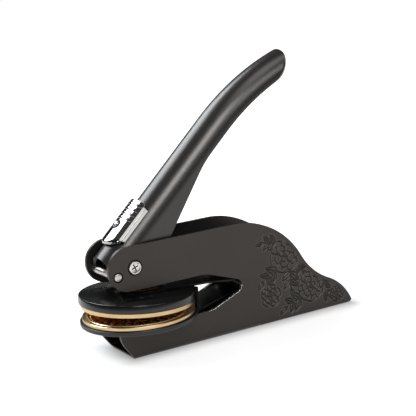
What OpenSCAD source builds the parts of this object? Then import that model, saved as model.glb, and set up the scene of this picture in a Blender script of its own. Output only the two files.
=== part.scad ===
// Desk seal embosser, in millimetres.
// Lengths run from the front edge of the frame's underside (x = 0) to the tail (+X).
// The object's middle plane is y = 0 and it stands on z = 0. Every piece is moved by
// stand() at the end, so that the origin lies under the middle of the whole object.

/* [Frame] */
// Furthest point of the tail, from the front edge of the underside
tail_x = 96.4; // [95:0.1:98]
// Width over the two cheeks
frame_w = 19.5; // [19:0.1:20.5]
// Thickness of the folded sheet steel
sheet = 1.3; // [1.1:0.1:1.4]
// Height of the arms' top edge
cheek_h = 41.2; // [40.6:0.1:42]
// Height of the arms' lower edge, over the throat
arm_z = 25.1; // [24.9:0.1:25.3]
// Height of the lower jaw's top edge
jaw_z = 10.9; // [10.7:0.1:10.9]
// Radius of the round hump behind the arms
hump_r = 33; // [31:0.5:35]
// Radius of the hollow between hump and tail
saddle_r = 26.6; // [25:0.2:28]
// Radius of the tail's back
tail_r = 21; // [20:0.2:22]

/* [Pivot] */
// Pivot, along and up
pivot = [3, 33.3];
// Stop pin, along and up
stop = [-3.8, 31];
// Radius of the post that the lever turns on
post_r = 2; // [1.8:0.1:2.1]
// Radius of the heads of the post and its screw
head_r = 2.45; // [2.4:0.05:2.6]
// Radius of the stop pin
stop_r = 1.5; // [1.4:0.05:1.5]

/* [Lever] */
// Slope of the handle's straight stretch at rest, in degrees
lever_a = 42.75; // [41:0.25:44]
// Half the handle's width, and the radius of its round back
lever_r = 7.75; // [7.5:0.05:7.8]
// Thickness of the handle's sheet
lever_wall = 1.2; // [1:0.1:1.3]
// Length of the straight stretch, from the pivot
straight_l = 60.3; // [56:0.5:64]
// Radius of the bend towards the tip, at the back's centre line
bend_r = 93; // [88:1:98]
// How far the handle turns over its bend, in degrees
bend_turn = 23.8; // [22:0.1:25]

/* [Dies] */
// Centre of the round dies, along
die_x = 7.5; // [7:0.1:8]
// Radius of the black holder plates
plate_r = 21.5; // [21:0.1:22]
// Radius of the brass rims
rim_r = 20.65; // [20:0.05:20.8]
// Radius of the die faces inside the rims
face_r = 18.5; // [17.5:0.1:18.6]
// How far the upper die stands open at rest, in degrees
die_open = 3; // [2:0.1:3.2]
// Bend of the die clip that the upper die swings about, along and up
die_hinge = [47.5, 17.2];
// Space left between the rims when they are closed
closed_gap = 0.34; // [0.3:0.02:0.5]
// Half the width of the die clip
clip_half = 7.3; // [6.5:0.1:7.3]
// Thickness of the die clip
clip_t = 0.8; // [0.6:0.1:0.8]

/* [Lock slide] */
// Half the width of the chrome slide
slide_half = 5.7; // [5:0.1:6]
// Length of the slide, from its tongue to its upper end
slide_l = 19.4; // [18:0.2:20]
// Height of the slide over the handle's back
slide_rise = 1.85; // [1.6:0.05:2]
// How far the slide travels towards the pivot
slide_travel = 5; // [4:0.5:5]

/* [Hidden] */
$fn = 64;
over = 1;                      // how far a cutter runs past what it cuts
fit = 0.03;                    // radial clearance of what stands still
run = 0.06;                    // radial clearance of what turns or slides

x_mid = (tail_x + die_x - plate_r) / 2;
gap_half = frame_w / 2 - sheet;                 // half the space between the cheeks

// Frame outline
hump_c = [44.8, cheek_h - hump_r];
hump_end = 28.4;                                // where the hump turns into the hollow
saddle_end = 65;                                // where the hollow turns into the tail
saddle_c = hump_c + (hump_r + saddle_r) * [cos(hump_end), sin(hump_end)];
tail_c = saddle_c - (saddle_r + tail_r) * [cos(saddle_end), sin(saddle_end)];
tail_end = 25;                                  // where the tail's back meets its corner
tail_corner = 1.4;
arm_r = (cheek_h - arm_z) / 2;
arm_c = [0.6, arm_z + arm_r];
front_r = 10.2;                                 // front edge of the lower jaw
front_c = [5, 10.5];
front_x = front_c[0] - front_r;
front_lean = 35.6;                              // slope of the front edge's foot
throat = [49.5, 18.3];                          // point where the throat's edges would meet
throat_up = 19.4;                               // slope of its upper edge
throat_down = 21.8;                             // slope of its lower edge
throat_nose = 1.7;
throat_bend = 12;                               // radius where a slope meets a level edge
fold_r = 1.5;                                   // outer radius of the frame's two folds
fold_in = 0.5;                                  // their inner radius
jaw_round = 0.4;                                // rounding of the lower jaw's front corner
notch_low = 8.8;                                // foot of the notches for the guide ears
notch_lead = 0.8;                               // room in front of an ear
notch_back = 0.9;                               // room behind it

// Pivot pieces
ring_deep = 0.35;                               // sinking round the heads of post and pin
ring_wide = 0.4;
screw_r = 1.2;
screw_l = 8.4;
head_h = 1.1;
head_bevel = 0.55;
washer_r = 4;
play = 0.08;                                    // side play of the handle at its washers

// Stack of the lower die
anvil_t = 1.4;
anvil_sunk = 0.3;                               // how deep the anvil lies in the lower jaw
anvil_set = 0.2;                                // how far it stands back from the jaw's front
lie = 0.05;                                     // space between pieces that lie on each other
film = 0.02;                                    // space between pieces that are riveted together
anvil_z = jaw_z - anvil_sunk - anvil_t;
clip_z = anvil_z + anvil_t + lie;               // underside of the clip's lower leg
lower_plate_z = clip_z + clip_t + lie;
lower_plate_t = 1.6;
lower_rim_z = lower_plate_z + lower_plate_t;
lower_rim_t = 1.6;
// Stack of the upper die, drawn closed and swung open afterwards
upper_rim_z = lower_rim_z + lower_rim_t + closed_gap;
upper_rim_t = 1.75;
upper_plate_z = upper_rim_z + upper_rim_t;
upper_plate_t = 3.05;
upper_top = upper_plate_z + upper_plate_t;
clip_top_z = upper_top + film;                  // underside of the clip's upper leg
clip_front = -2;                                // front ends of the clip's two legs
clip_low_front = 0;
clip_back = 31;                                 // where the upper leg begins to curve
clip_rise = [1.6, 1.4];                         // how the lower leg starts to rise
clip_swell = 5.2;
clip_bend_r = 2.3;                              // rear bend, at the strip's middle
pad_x = [3.6, 13];
pad_half = 5.5;
pad_t = 0.6;
face_t = 1.2;
face_sunk = 0.15;                               // how far the upper face stands back
ear_in = 7.6;                                   // guide ears, across
ear_out = 9.4;
ear_x = 27.3;
ear_t = 1.2;
ear_foot = 9.25;                                // foot of the ears when the die is closed
ear_root = 2;                                   // how far the ears run under the plate
rivet_r = 1;
rivet_head = 1.7;
rivet_head_h = 0.7;
rivet_room = 0.4;
lower_rivet_x = [3, 12];
upper_rivet_x = [0.4, 18];

// Lever, in its own frame: s runs up the handle from the pivot, n stands on its back
back_n = 1.8;                                   // centre line of the back, over the pivot
bore_r = post_r + run;
boss_r = 5.2;
front_s = -12;                                  // where the bar starts, before trimming
crest_s = -4.2;                                 // front end of the back's crest
front_edge = [[-6.35, 4.95], [-4.15, 2.9], [-5, -1.4]];   // round the stop pin, downwards
lobe_front = [-2.05, -0.5];                     // where the front edge meets the roller's lobe
lobe_back = [1.9, -1];                          // where the lobe meets the lower edge
skirt_knee = [12, -6.5];                        // corner of the lower edge behind the lobe
roller = [0.2, -9.8];                           // roller's axis in the lever's frame
roller_r = 2.4;
roller_pin_r = 1;
lobe_r = 2.1;
inner_r = lever_r - lever_wall;
skirt = 16;                                     // depth of the side walls before trimming
tip_long = 11.9;                                // length of the rounded tip
tip_mid = 5.5;                                  // height of its foremost point over the centre line
tip_half = 10.2;                                // half widths of the egg shape that ends it
tip_up = 5.5;
tip_low = 9;
edge_low = 0.3;                                 // reach of the side walls below the back's centre line
flare_s = 45.8;                                 // where the side walls begin to deepen
flare_a = 13.8;
flare_bend = 40;
spacer_r = 2.9;
spacer_gap = 0.35;                              // space at the spacer's ends
roller_gap = 0.2;                               // space at the roller's ends

// Lock slide, along the lever
slide_s = 0.9;
stud_s = 9.2;
stud_r = 1.35;
stud_shank = 1.05;
tongue_r = 6.6;
grips = 4;
grip_pitch = 1.9;
grip_w = 0.9;
grip_rise = 0.3;
grip_inset = 1;                                 // how far the ribs end from the slide's sides
slide_cut = 1.2;                                // cut corners of its upper end
slide_low = 2;                                  // its lowest edge, over the back's centre line
lip_l = 3;                                      // length and lift of the lip at the tongue
lip_lift = 0.8;
stud_low = 4.1;                                 // stud's foot, over the back's centre line
stud_foot = [1.3, 1.7];                         // its radii
stud_foot_h = 0.5;
stud_dome = 0.5;
stud_room = 0.2;
catch_half = [6, 3.3];                          // catch inside the handle: half length and width
catch_low = 4.7;

// Return spring
wire_r = 0.4;
coil_r = 3.75;
coil_turns = 6;
coil_pitch = 1.3;
coil_sides = 6;
coil_steps = 8;                                 // rings in one turn
leg_up = 52.5;                                  // direction of the leg inside the handle
leg_down = 252;                                 // direction of the leg at the stop pin
leg_up_l = 14;
leg_down_l = 6.5;

// ---------------------------------------------------------------- helpers

function arc(c, r, a0, a1, n) =
    [for (i = [0 : n]) let (a = a0 + (a1 - a0) * i / n) c + r * [cos(a), sin(a)]];

function bezier(a, b, c, d, n) =
    [for (i = [0 : n]) let (t = i / n, u = 1 - t)
        u * u * u * a + 3 * u * u * t * b + 3 * u * t * t * c + t * t * t * d];

function unit(v) = v / norm(v);

function turned(p, c, a) =
    let (q = p - c) c + [q[0] * cos(a) - q[1] * sin(a), q[0] * sin(a) + q[1] * cos(a)];

// Points of a line moved sideways by d, to the left of the way it runs
function beside(line, d) =
    [for (i = [0 : len(line) - 1])
        let (
            a = line[max(i - 1, 0)],
            b = line[min(i + 1, len(line) - 1)],
            t = unit(b - a)
        ) line[i] + d * [-t[1], t[0]]];

function backwards(line) = [for (i = [len(line) - 1 : -1 : 0]) line[i]];

// A strip of even thickness along a line, as one outline
function strip(line, t) = concat(beside(line, t / 2), backwards(beside(line, -t / 2)));

// Stands the object's middle over the origin
module stand() translate([-x_mid, 0, 0]) children();

// Thickens a side outline (along, up) across the object
module across(w) rotate([90, 0, 0]) linear_extrude(w, center = true) children();

// Thickens a section (across, up) along the object, from x0 to x1
module along(x0, x1) translate([x0, 0, 0]) rotate([90, 0, 90]) linear_extrude(x1 - x0) children();

// A cylinder across the object, at a side point, from y0 to y1
module pin(at, r, y0, y1)
    translate([at[0], y0, at[1]]) rotate([-90, 0, 0]) cylinder(r = r, h = y1 - y0);

module both_sides() {
    children();
    mirror([0, 1, 0]) children();
}

// Swings the upper die open about the bend of the clip
module opened()
    translate([die_hinge[0], 0, die_hinge[1]])
        rotate([0, die_open, 0])
            translate([-die_hinge[0], 0, -die_hinge[1]]) children();

// Puts a piece drawn in the lever's frame (s, y, n) in its place at rest
module on_lever() translate([pivot[0], 0, pivot[1]]) rotate([0, -lever_a, 0]) children();

// ---------------------------------------------------------------- frame

throat_corner_top = throat[0] - (arm_z - throat[1]) / tan(throat_up);
throat_corner_low = throat[0] - (throat[1] - jaw_z) / tan(throat_down);
nose_back = throat_nose / sin((throat_up + throat_down) / 2);
nose_dir = 180 + (throat_down - throat_up) / 2;
nose_c = throat + nose_back * [cos(nose_dir), sin(nose_dir)];
run_top = throat_bend * tan(throat_up / 2);
run_low = throat_bend * tan(throat_down / 2);

function cheek_outline() = concat(
    [[0, 0]],
    arc(front_c, front_r, 180 + front_lean, 180, 6),
    [[front_x, jaw_z - jaw_round], [front_x + jaw_round, jaw_z]],
    arc([throat_corner_low - run_low, jaw_z + throat_bend], throat_bend, -90, -90 + throat_down, 5),
    arc(nose_c, throat_nose, -90 + throat_down, 90 - throat_up, 10),
    arc([throat_corner_top - run_top, arm_z - throat_bend], throat_bend, 90 - throat_up, 90, 5),
    arc(arm_c, arm_r, 270, 90, 24),
    arc(hump_c, hump_r, 90, hump_end, 14),
    arc(saddle_c, saddle_r, 180 + hump_end, 180 + saddle_end, 9),
    arc(tail_c, tail_r, saddle_end, tail_end, 9),
    arc([tail_x - tail_corner, tail_corner], tail_corner, 10, -90, 6)
);

module rounded_trough(half, floor_z, r) {
    translate([-half, floor_z + r]) square([2 * half, 2 * cheek_h]);
    translate([-half + r, floor_z]) square([2 * (half - r), 2 * r]);
    for (side = [-1, 1]) translate([side * (half - r), floor_z + r]) circle(r);
}

module frame() color("#46403c") stand() difference() {
    intersection() {
        along(arm_c[0] - arm_r - over, tail_x + over) difference() {
            rounded_trough(frame_w / 2, 0, fold_r);
            rounded_trough(gap_half, sheet, fold_in);
        }
        across(frame_w + 2 * over) polygon(cheek_outline());
    }
    pin(pivot, post_r + fit, -frame_w, frame_w);
    pin(stop, stop_r + fit, -frame_w, frame_w);
    both_sides() {
        pin(pivot, head_r + ring_wide, frame_w / 2 - ring_deep, frame_w);
        pin(stop, stop_r + ring_wide, frame_w / 2 - ring_deep, frame_w);
        translate([ear_x - notch_lead, gap_half - over, notch_low])
            cube([notch_lead + ear_t + notch_back, sheet + 2 * over, jaw_z]);
    }
}

module anvil_plate() color("#2c2a29") stand() difference() {
    front = front_x + anvil_set;
    translate([front, -gap_half + fit, anvil_z])
        cube([ear_x - notch_lead - front, 2 * (gap_half - fit), anvil_t]);
    for (x = lower_rivet_x) translate([x, 0, anvil_z - over])
        cylinder(r = rivet_head + rivet_room, h = anvil_t + 2 * over);
}

// ---------------------------------------------------------------- pivot

module pivot_head() {
    rim = head_h - head_bevel;
    cylinder(r = head_r, h = rim);
    translate([0, 0, rim]) cylinder(r1 = head_r, r2 = head_r - head_bevel, h = head_bevel);
}

module pivot_post() color("silver") stand() difference() {
    seat = frame_w / 2 - ring_deep;
    union() {
        pin(pivot, post_r, -seat, seat);
        translate([pivot[0], seat, pivot[1]]) rotate([-90, 0, 0]) pivot_head();
    }
    pin(pivot, screw_r + fit, -seat - over, over - seat + screw_l);
}

module pivot_screw() color("silver") stand() difference() {
    seat = frame_w / 2 - ring_deep;
    slot = [2.9, 0.7, 0.6];                     // length, depth and width of the driver's cross
    union() {
        pin(pivot, screw_r, -seat, screw_l - seat);
        translate([pivot[0], -seat, pivot[1]]) rotate([90, 0, 0]) pivot_head();
    }
    for (a = [20, 110])
        translate([pivot[0], -seat - head_h, pivot[1]]) rotate([0, a, 0])
            cube([slot[0], 2 * slot[1], slot[2]], center = true);
}

module pivot_spacer() color("#8d8d8d") stand() difference() {
    half = inner_r - spacer_gap;
    pin(pivot, spacer_r, -half, half);
    pin(pivot, post_r + fit, -half - over, half + over);
}

module pivot_washers() color("silver") stand() both_sides() difference() {
    pin(pivot, washer_r, lever_r + play, gap_half - fit);
    pin(pivot, post_r + fit, lever_r - over, gap_half + over);
}

module stop_pin() color("silver") stand() {
    end = frame_w / 2 + 0.1;
    dome = [0.35, 0.2];                         // width and height of the ends' bevel
    pin(stop, stop_r, -end, end);
    both_sides() translate([stop[0], end, stop[1]]) rotate([-90, 0, 0])
        cylinder(r1 = stop_r, r2 = stop_r - dome[0], h = dome[1]);
}

// Wire of the return spring: a leg inside the handle, the turns, a leg at the stop pin
coil_half = coil_turns * coil_pitch / 2;
coil_from = leg_up + 90;
coil_sweep = 360 * coil_turns + (leg_down - 90 - coil_from);
coil_rings = coil_steps * coil_turns;

function on_coil(a, y) = [pivot[0] + coil_r * cos(a), y, pivot[1] + coil_r * sin(a)];

function spring_line() =
    let (
        start = on_coil(coil_from, coil_half),
        end = on_coil(coil_from + coil_sweep, -coil_half)
    )
    concat(
        [for (i = [2 : -1 : 1]) start + i / 2 * leg_up_l * [cos(leg_up), 0, sin(leg_up)]],
        [for (i = [0 : coil_rings])
            on_coil(coil_from + coil_sweep * i / coil_rings,
                    coil_half - 2 * coil_half * i / coil_rings)],
        [for (i = [1 : 2]) end + i / 2 * leg_down_l * [cos(leg_down), 0, sin(leg_down)]]
    );

function tube_ring(line, i, r, sides) =
    let (
        a = line[max(i - 1, 0)],
        b = line[min(i + 1, len(line) - 1)],
        t = unit(b - a),
        u = unit(cross(t, [0, 1, 0])),
        v = cross(t, u)
    )
    [for (k = [0 : sides - 1]) let (w = 360 * k / sides) line[i] + r * (cos(w) * u + sin(w) * v)];

module tube(line, r, sides) {
    rings = len(line);
    points = [for (i = [0 : rings - 1]) each tube_ring(line, i, r, sides)];
    walls = [for (i = [0 : rings - 2], k = [0 : sides - 1])
        let (m = (k + 1) % sides, a = i * sides, b = a + sides)
        each [[a + k, a + m, b + m], [a + k, b + m, b + k]]];
    first = [for (k = [1 : sides - 2]) [0, k + 1, k]];
    last = [for (k = [1 : sides - 2]) let (e = (rings - 1) * sides) [e, e + k, e + k + 1]];
    polyhedron(points, concat(walls, first, last));
}

// Least gap between neighbouring turns, measured on the wire's own points
function turn_gap(line) =
    min([for (i = [2 : len(line) - 3 - coil_steps])
        min([for (j = [i + coil_steps - 2 : min(i + coil_steps + 2, len(line) - 3)])
            norm(line[i] - line[j])])]) - 2 * wire_r;

module return_spring() color("#b9b9b9") stand() {
    line = spring_line();
    echo(str("least gap between the spring's turns: ", turn_gap(line), " mm"));
    tube(line, wire_r, coil_sides);
}

// ---------------------------------------------------------------- dies

// Middle line of the clip: lower leg, rise behind the dies, rear bend, upper leg
function clip_line() =
    let (
        low = clip_z + clip_t / 2,
        high = clip_top_z + clip_t / 2,
        bend = die_hinge - [0.3, 0.2],
        under = bend - [0, clip_bend_r],
        over_it = bend + [0, clip_bend_r],
        front = turned([clip_front, high], die_hinge, -die_open),
        back = turned([clip_back, high], die_hinge, -die_open),
        rise = [plate_r + die_x + 0.2, low]
    )
    concat(
        [[clip_low_front, low]],
        bezier(rise, rise + clip_rise, under - [clip_swell, 0], under, 12),
        arc(bend, clip_bend_r, -75, 75, 10),
        backwards(bezier(back, back + 6 * [cos(die_open), -sin(die_open)],
                         over_it - [3.7, -0.3], over_it, 10)),
        [front]
    );

module rivet_holes(xs, z0, z1) for (x = xs) translate([x, 0, z0]) cylinder(r = rivet_r + fit, h = z1 - z0);

module clip_spring() color("#1d1c1c") stand() difference() {
    across(2 * clip_half) polygon(strip(clip_line(), clip_t));
    rivet_holes(lower_rivet_x, clip_z - over, clip_z + clip_t + over);
    opened() rivet_holes(upper_rivet_x, upper_top - over, upper_top + clip_t + over);
}

module lower_die_plate() color("#151515") stand() difference() {
    translate([die_x, 0, lower_plate_z]) cylinder(r = plate_r, h = lower_plate_t, $fn = 128);
    both_sides() translate([ear_x - notch_lead, ear_in - 0.3, lower_plate_z - over])
        cube([4, ear_out - ear_in + 4, lower_plate_t + 2 * over]);
    rivet_holes(lower_rivet_x, lower_plate_z - over, lower_rim_z + over);
}

module die_rim(z, t) translate([die_x, 0, z]) difference() {
    cylinder(r = rim_r, h = t, $fn = 128);
    translate([0, 0, -over]) cylinder(r = face_r + fit, h = t + 2 * over, $fn = 128);
}

// Raised figure of a die face: a ring of petals, a plain ring and a round boss
petals = 12;
petal_at = 12.4;
petal_r = 2.2;
figure_ring = [8.2, 7.4];
figure_boss = 3.2;

module die_figure(h, grow) {
    for (i = [0 : petals - 1])
        rotate([0, 0, 360 * i / petals]) translate([petal_at, 0, 0])
            cylinder(r = petal_r + grow, h = h);
    difference() {
        cylinder(r = figure_ring[0] + grow, h = h);
        translate([0, 0, -over]) cylinder(r = figure_ring[1] - grow, h = h + 2 * over);
    }
    cylinder(r = figure_boss + grow, h = h);
}

figure_h = 0.3;
figure_root = 0.1;                              // how deep the figure grows from the face
figure_room = 0.15;                             // how much wider its hollow in the upper face is

module lower_die_rim() color("#d9b26a") stand() die_rim(lower_rim_z, lower_rim_t);

module lower_die_face() color("#b8862e") stand() translate([die_x, 0, lower_rim_z]) {
    cylinder(r = face_r - fit, h = face_t - figure_h, $fn = 128);
    translate([0, 0, face_t - figure_h - figure_root]) die_figure(figure_h + figure_root, 0);
}

module lower_rivets() color("#9a9a9a") stand() for (x = lower_rivet_x) {
    foot = clip_z - rivet_head_h;
    translate([x, 0, foot]) {
        cylinder(r1 = rivet_head - 0.4, r2 = rivet_head, h = rivet_head_h);
        cylinder(r = rivet_r, h = lower_rim_z - lie - foot);
    }
}

module upper_die_plate() color("#151515") stand() opened() {
    difference() {
        translate([die_x, 0, upper_plate_z]) cylinder(r = plate_r, h = upper_plate_t, $fn = 128);
        rivet_holes(upper_rivet_x, upper_plate_z - over, upper_top + over);
    }
    both_sides() {
        translate([ear_x - ear_root, ear_in, upper_plate_z])
            cube([ear_root + ear_t, ear_out - ear_in, upper_plate_t]);
        translate([ear_x, ear_in, ear_foot])
            cube([ear_t, ear_out - ear_in, upper_plate_z + over - ear_foot]);
    }
}

module upper_die_rim() color("#d9b26a") stand() opened() die_rim(upper_rim_z, upper_rim_t);

module upper_die_face() color("#b8862e") stand() opened()
    translate([die_x, 0, upper_plate_z]) mirror([0, 0, 1]) difference() {
        cylinder(r = face_r - fit, h = upper_rim_t - face_sunk, $fn = 128);
        translate([0, 0, upper_rim_t - face_sunk - figure_h])
            die_figure(figure_h + over, figure_room);
    }

module upper_rivets() color("#9a9a9a") stand() opened() for (x = upper_rivet_x) {
    foot = upper_plate_z + lie;
    seat = clip_top_z + clip_t + film;
    translate([x, 0, foot]) cylinder(r = rivet_r, h = seat - foot);
    translate([x, 0, seat]) cylinder(r1 = rivet_head, r2 = rivet_head - 0.6, h = 0.5);
}

module press_pad() color("#8d8d8d") stand() opened()
    translate([pad_x[0], -pad_half, clip_top_z + clip_t + film])
        cube([pad_x[1] - pad_x[0], 2 * pad_half, pad_t]);

// ---------------------------------------------------------------- lever

function on_bend(turn, off) =
    [straight_l + (bend_r + off) * sin(turn), back_n - bend_r + (bend_r + off) * cos(turn)];

function turn_of(length) = length / bend_r * 180 / PI;    // angle of a length along the bend

// Side outline of the handle, in its own frame
function lever_outline() = concat(
    [[crest_s, back_n + lever_r + over]],
    front_edge,
    [roller + lobe_front, roller + lobe_back, skirt_knee],
    arc([flare_s + flare_bend * tan(flare_a / 2), back_n - edge_low - flare_bend], flare_bend,
        90 + flare_a, 90, 5),
    [for (i = [0 : 10]) on_bend((bend_turn + 1) * i / 10, -edge_low)],
    [for (i = [10 : -1 : 0]) on_bend((bend_turn + 1) * i / 10, lever_r + over)]
);

// Section of the handle (up, across): a round back over straight sides
module back_section(r) {
    circle(r);
    translate([-skirt, -r]) square([skirt, 2 * r]);
}

// Solid bar with a round back, from s0 up the straight stretch and round the bend
module backed_bar(r, s0, turn) {
    along(s0, straight_l) translate([0, back_n]) rotate([0, 0, 90]) back_section(r);
    translate([straight_l, 0, back_n - bend_r]) rotate([-90, 0, 0]) rotate([0, 0, -90])
        rotate_extrude(angle = turn, $fn = 256) translate([bend_r, 0]) back_section(r, $fn = 64);
}

// Everything behind the rounded tip, which is half an egg with a wall taken off
module behind_tip(wall = 0) {
    turn = bend_turn - turn_of(tip_long);
    at = on_bend(turn, tip_mid);
    translate([at[0], 0, at[1]]) rotate([0, (turn + bend_turn) / 2, 0]) {
        translate([-200, -100, -100]) cube([200, 200, 200]);
        for (half = [[tip_up, 0], [tip_low, -100]]) intersection() {
            scale([tip_long - wall, tip_half - wall, half[0] - wall]) sphere(1, $fn = 64);
            translate([-1, -50, half[1]]) cube(100);
        }
    }
}

module stud_slot() {
    r = stud_shank + stud_room;
    low = back_n + stud_low - over;
    for (s = [stud_s, stud_s - slide_travel])
        translate([s, 0, low]) cylinder(r = r, h = lever_r);
    translate([stud_s - slide_travel, -r, low]) cube([slide_travel, 2 * r, lever_r]);
}

module handle_lever() color("#3f3f42") stand() on_lever() difference() {
    intersection() {
        backed_bar(lever_r, front_s, bend_turn + 1);
        across(3 * lever_r) {
            polygon(lever_outline());
            circle(boss_r);
            translate(roller) circle(lobe_r);
        }
        behind_tip();
    }
    intersection() {
        backed_bar(inner_r, front_s - over, bend_turn + 1);
        behind_tip(lever_wall);
    }
    pin([0, 0], bore_r, -frame_w, frame_w);
    pin(roller, roller_pin_r + fit, -frame_w, frame_w);
    stud_slot();
}

module press_roller() color("#a5a5a5") stand() on_lever() difference() {
    half = inner_r - roller_gap;
    pin(roller, roller_r, -half, half);
    pin(roller, roller_pin_r + run, -half - over, half + over);
}

module roller_pin() color("silver") stand() on_lever()
    pin(roller, roller_pin_r, -lever_r + fit, lever_r - fit);

// ---------------------------------------------------------------- lock slide

// Round bar along the handle's back, between two places on it
module back_bar(r, s0, s1) along(s0, s1) translate([0, back_n]) circle(r, $fn = 96);

module slide_plan() {
    square_s = slide_s + tongue_r - sqrt(tongue_r * tongue_r - slide_half * slide_half);
    end = slide_s + slide_l;
    intersection() {
        translate([slide_s + tongue_r, 0]) circle(tongue_r);
        translate([0, -slide_half]) square([slide_s + tongue_r, 2 * slide_half]);
    }
    polygon([[square_s, -slide_half], [end - slide_cut, -slide_half],
             [end, slide_cut - slide_half], [end, slide_half - slide_cut],
             [end - slide_cut, slide_half], [square_s, slide_half]]);
}

module lock_slide() color("#e8e8e8") stand() on_lever() {
    top = lever_r + slide_rise;
    difference() {
        intersection() {
            back_bar(top, slide_s - over, slide_s + slide_l + over);
            translate([0, 0, back_n + slide_low]) linear_extrude(top) slide_plan();
        }
        back_bar(lever_r + run, slide_s - 2 * over, slide_s + slide_l + 2 * over);
        back_bar(lever_r + lip_lift, slide_s - 2 * over, slide_s + lip_l);
        translate([stud_s, 0, 0]) cylinder(r = stud_shank + fit, h = 20);
    }
    for (i = [0 : grips - 1]) {
        s = slide_s + slide_l - 2 - i * grip_pitch;
        intersection() {
            difference() {
                back_bar(top + grip_rise, s - grip_w, s);
                back_bar(top - grip_rise, s - grip_w - over, s + over);
            }
            translate([0, grip_inset - slide_half, 0])
                cube([s + over, 2 * (slide_half - grip_inset), 2 * top]);
        }
    }
}

module slide_stud() color("silver") stand() on_lever() {
    top = back_n + lever_r + slide_rise;
    foot = back_n + stud_low;
    translate([stud_s, 0, foot]) cylinder(r1 = stud_foot[0], r2 = stud_foot[1], h = stud_foot_h);
    translate([stud_s, 0, foot + stud_foot_h - fit])
        cylinder(r = stud_shank, h = top - foot - stud_foot_h + fit);
    translate([stud_s, 0, top]) cylinder(r1 = stud_r, r2 = stud_r - stud_dome, h = stud_dome);
}

module slide_catch() color("#8d8d8d") stand() on_lever() difference() {
    intersection() {
        back_bar(inner_r - 0.1, stud_s - catch_half[0], stud_s + catch_half[0]);
        translate([0, -catch_half[1], back_n + catch_low])
            cube([2 * slide_l, 2 * catch_half[1], inner_r]);
    }
    translate([stud_s, 0, 0]) cylinder(r = stud_shank + fit, h = 20);
}

frame();
anvil_plate();
pivot_post();
pivot_screw();
pivot_spacer();
pivot_washers();
stop_pin();
return_spring();
clip_spring();
lower_die_plate();
lower_die_rim();
lower_die_face();
lower_rivets();
upper_die_plate();
upper_die_rim();
upper_die_face();
upper_rivets();
press_pad();
handle_lever();
press_roller();
roller_pin();
lock_slide();
slide_stud();
slide_catch();
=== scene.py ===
"""Desk seal embosser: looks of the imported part, in Blender 4.5.

Shapes are drawn in millimetres in the maker's own frame: x runs from the front edge of the
underside to the tail, y across, z up. The handle has a frame of its own, in which s runs up
the handle from its pivot and n stands on its back. Every piece ends in metres, in the row's
frame, with its object at the origin.
"""

from __future__ import annotations

import logging
import math
from dataclasses import dataclass, field
from enum import Enum
from typing import Any, Callable, Iterable, Sequence

import bmesh
import bpy
import numpy as np
from mathutils import Matrix, Vector
from mathutils.kdtree import KDTree

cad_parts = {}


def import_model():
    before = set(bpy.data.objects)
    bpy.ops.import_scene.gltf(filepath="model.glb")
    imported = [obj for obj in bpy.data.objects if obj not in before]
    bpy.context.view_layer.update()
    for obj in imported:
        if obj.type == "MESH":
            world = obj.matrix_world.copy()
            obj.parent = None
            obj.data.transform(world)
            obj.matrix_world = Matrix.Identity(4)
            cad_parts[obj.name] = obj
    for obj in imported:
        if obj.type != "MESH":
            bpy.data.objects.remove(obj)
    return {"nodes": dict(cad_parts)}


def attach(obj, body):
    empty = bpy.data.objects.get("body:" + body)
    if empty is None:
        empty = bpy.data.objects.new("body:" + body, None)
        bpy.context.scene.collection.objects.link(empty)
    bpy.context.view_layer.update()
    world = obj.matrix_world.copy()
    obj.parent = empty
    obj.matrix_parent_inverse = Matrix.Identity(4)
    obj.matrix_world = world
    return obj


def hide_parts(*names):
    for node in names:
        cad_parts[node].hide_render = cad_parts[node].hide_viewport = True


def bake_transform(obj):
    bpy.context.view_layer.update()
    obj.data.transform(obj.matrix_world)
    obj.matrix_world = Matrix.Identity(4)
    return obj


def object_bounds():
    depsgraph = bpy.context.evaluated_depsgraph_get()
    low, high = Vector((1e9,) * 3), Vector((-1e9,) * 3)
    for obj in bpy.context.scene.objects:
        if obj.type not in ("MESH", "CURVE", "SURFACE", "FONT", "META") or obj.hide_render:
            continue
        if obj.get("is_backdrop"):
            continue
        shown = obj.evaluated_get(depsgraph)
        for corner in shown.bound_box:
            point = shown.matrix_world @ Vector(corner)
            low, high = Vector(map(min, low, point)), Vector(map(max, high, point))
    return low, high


LOG = logging.getLogger("embosser")

Point = tuple[float, float]
Colour = tuple[float, float, float, float]

MIDDLE_X = 41.2
PIVOT = (3.0, 33.3)
STOP = (-3.8, 31.0)
HANDLE_SLOPE = 42.75
DIE_X = 7.5
DIE_HINGE = (47.5, 17.2)
DIE_OPEN = 3.0
FRAME_W = 19.5
SHEET = 1.3
INNER_HALF = FRAME_W / 2 - SHEET
SUNK = 0.35
SUNK_R = {PIVOT: 2.85, STOP: 1.9}
BACK_N = 1.8
BACK_R = 7.75

TO_ROW = Matrix.Scale(0.001, 4) @ Matrix.Translation((-MIDDLE_X, 0, 0))
ON_HANDLE = Matrix.Translation((PIVOT[0], 0, PIVOT[1])) @ Matrix.Rotation(
    math.radians(-HANDLE_SLOPE), 4, "Y"
)
SWUNG_OPEN = (
    Matrix.Translation((DIE_HINGE[0], 0, DIE_HINGE[1]))
    @ Matrix.Rotation(math.radians(DIE_OPEN), 4, "Y")
    @ Matrix.Translation((-DIE_HINGE[0], 0, -DIE_HINGE[1]))
)
CROSSWISE = Matrix.Rotation(math.radians(-90), 4, "X")


class Body(Enum):
    """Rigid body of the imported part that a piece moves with."""

    FRAME = "frame"
    LEVER = "lever"
    UPPER_DIE = "upper_die"
    LOCK_SLIDE = "lock_slide"


# ------------------------------------------------------------------ small maths


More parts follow.
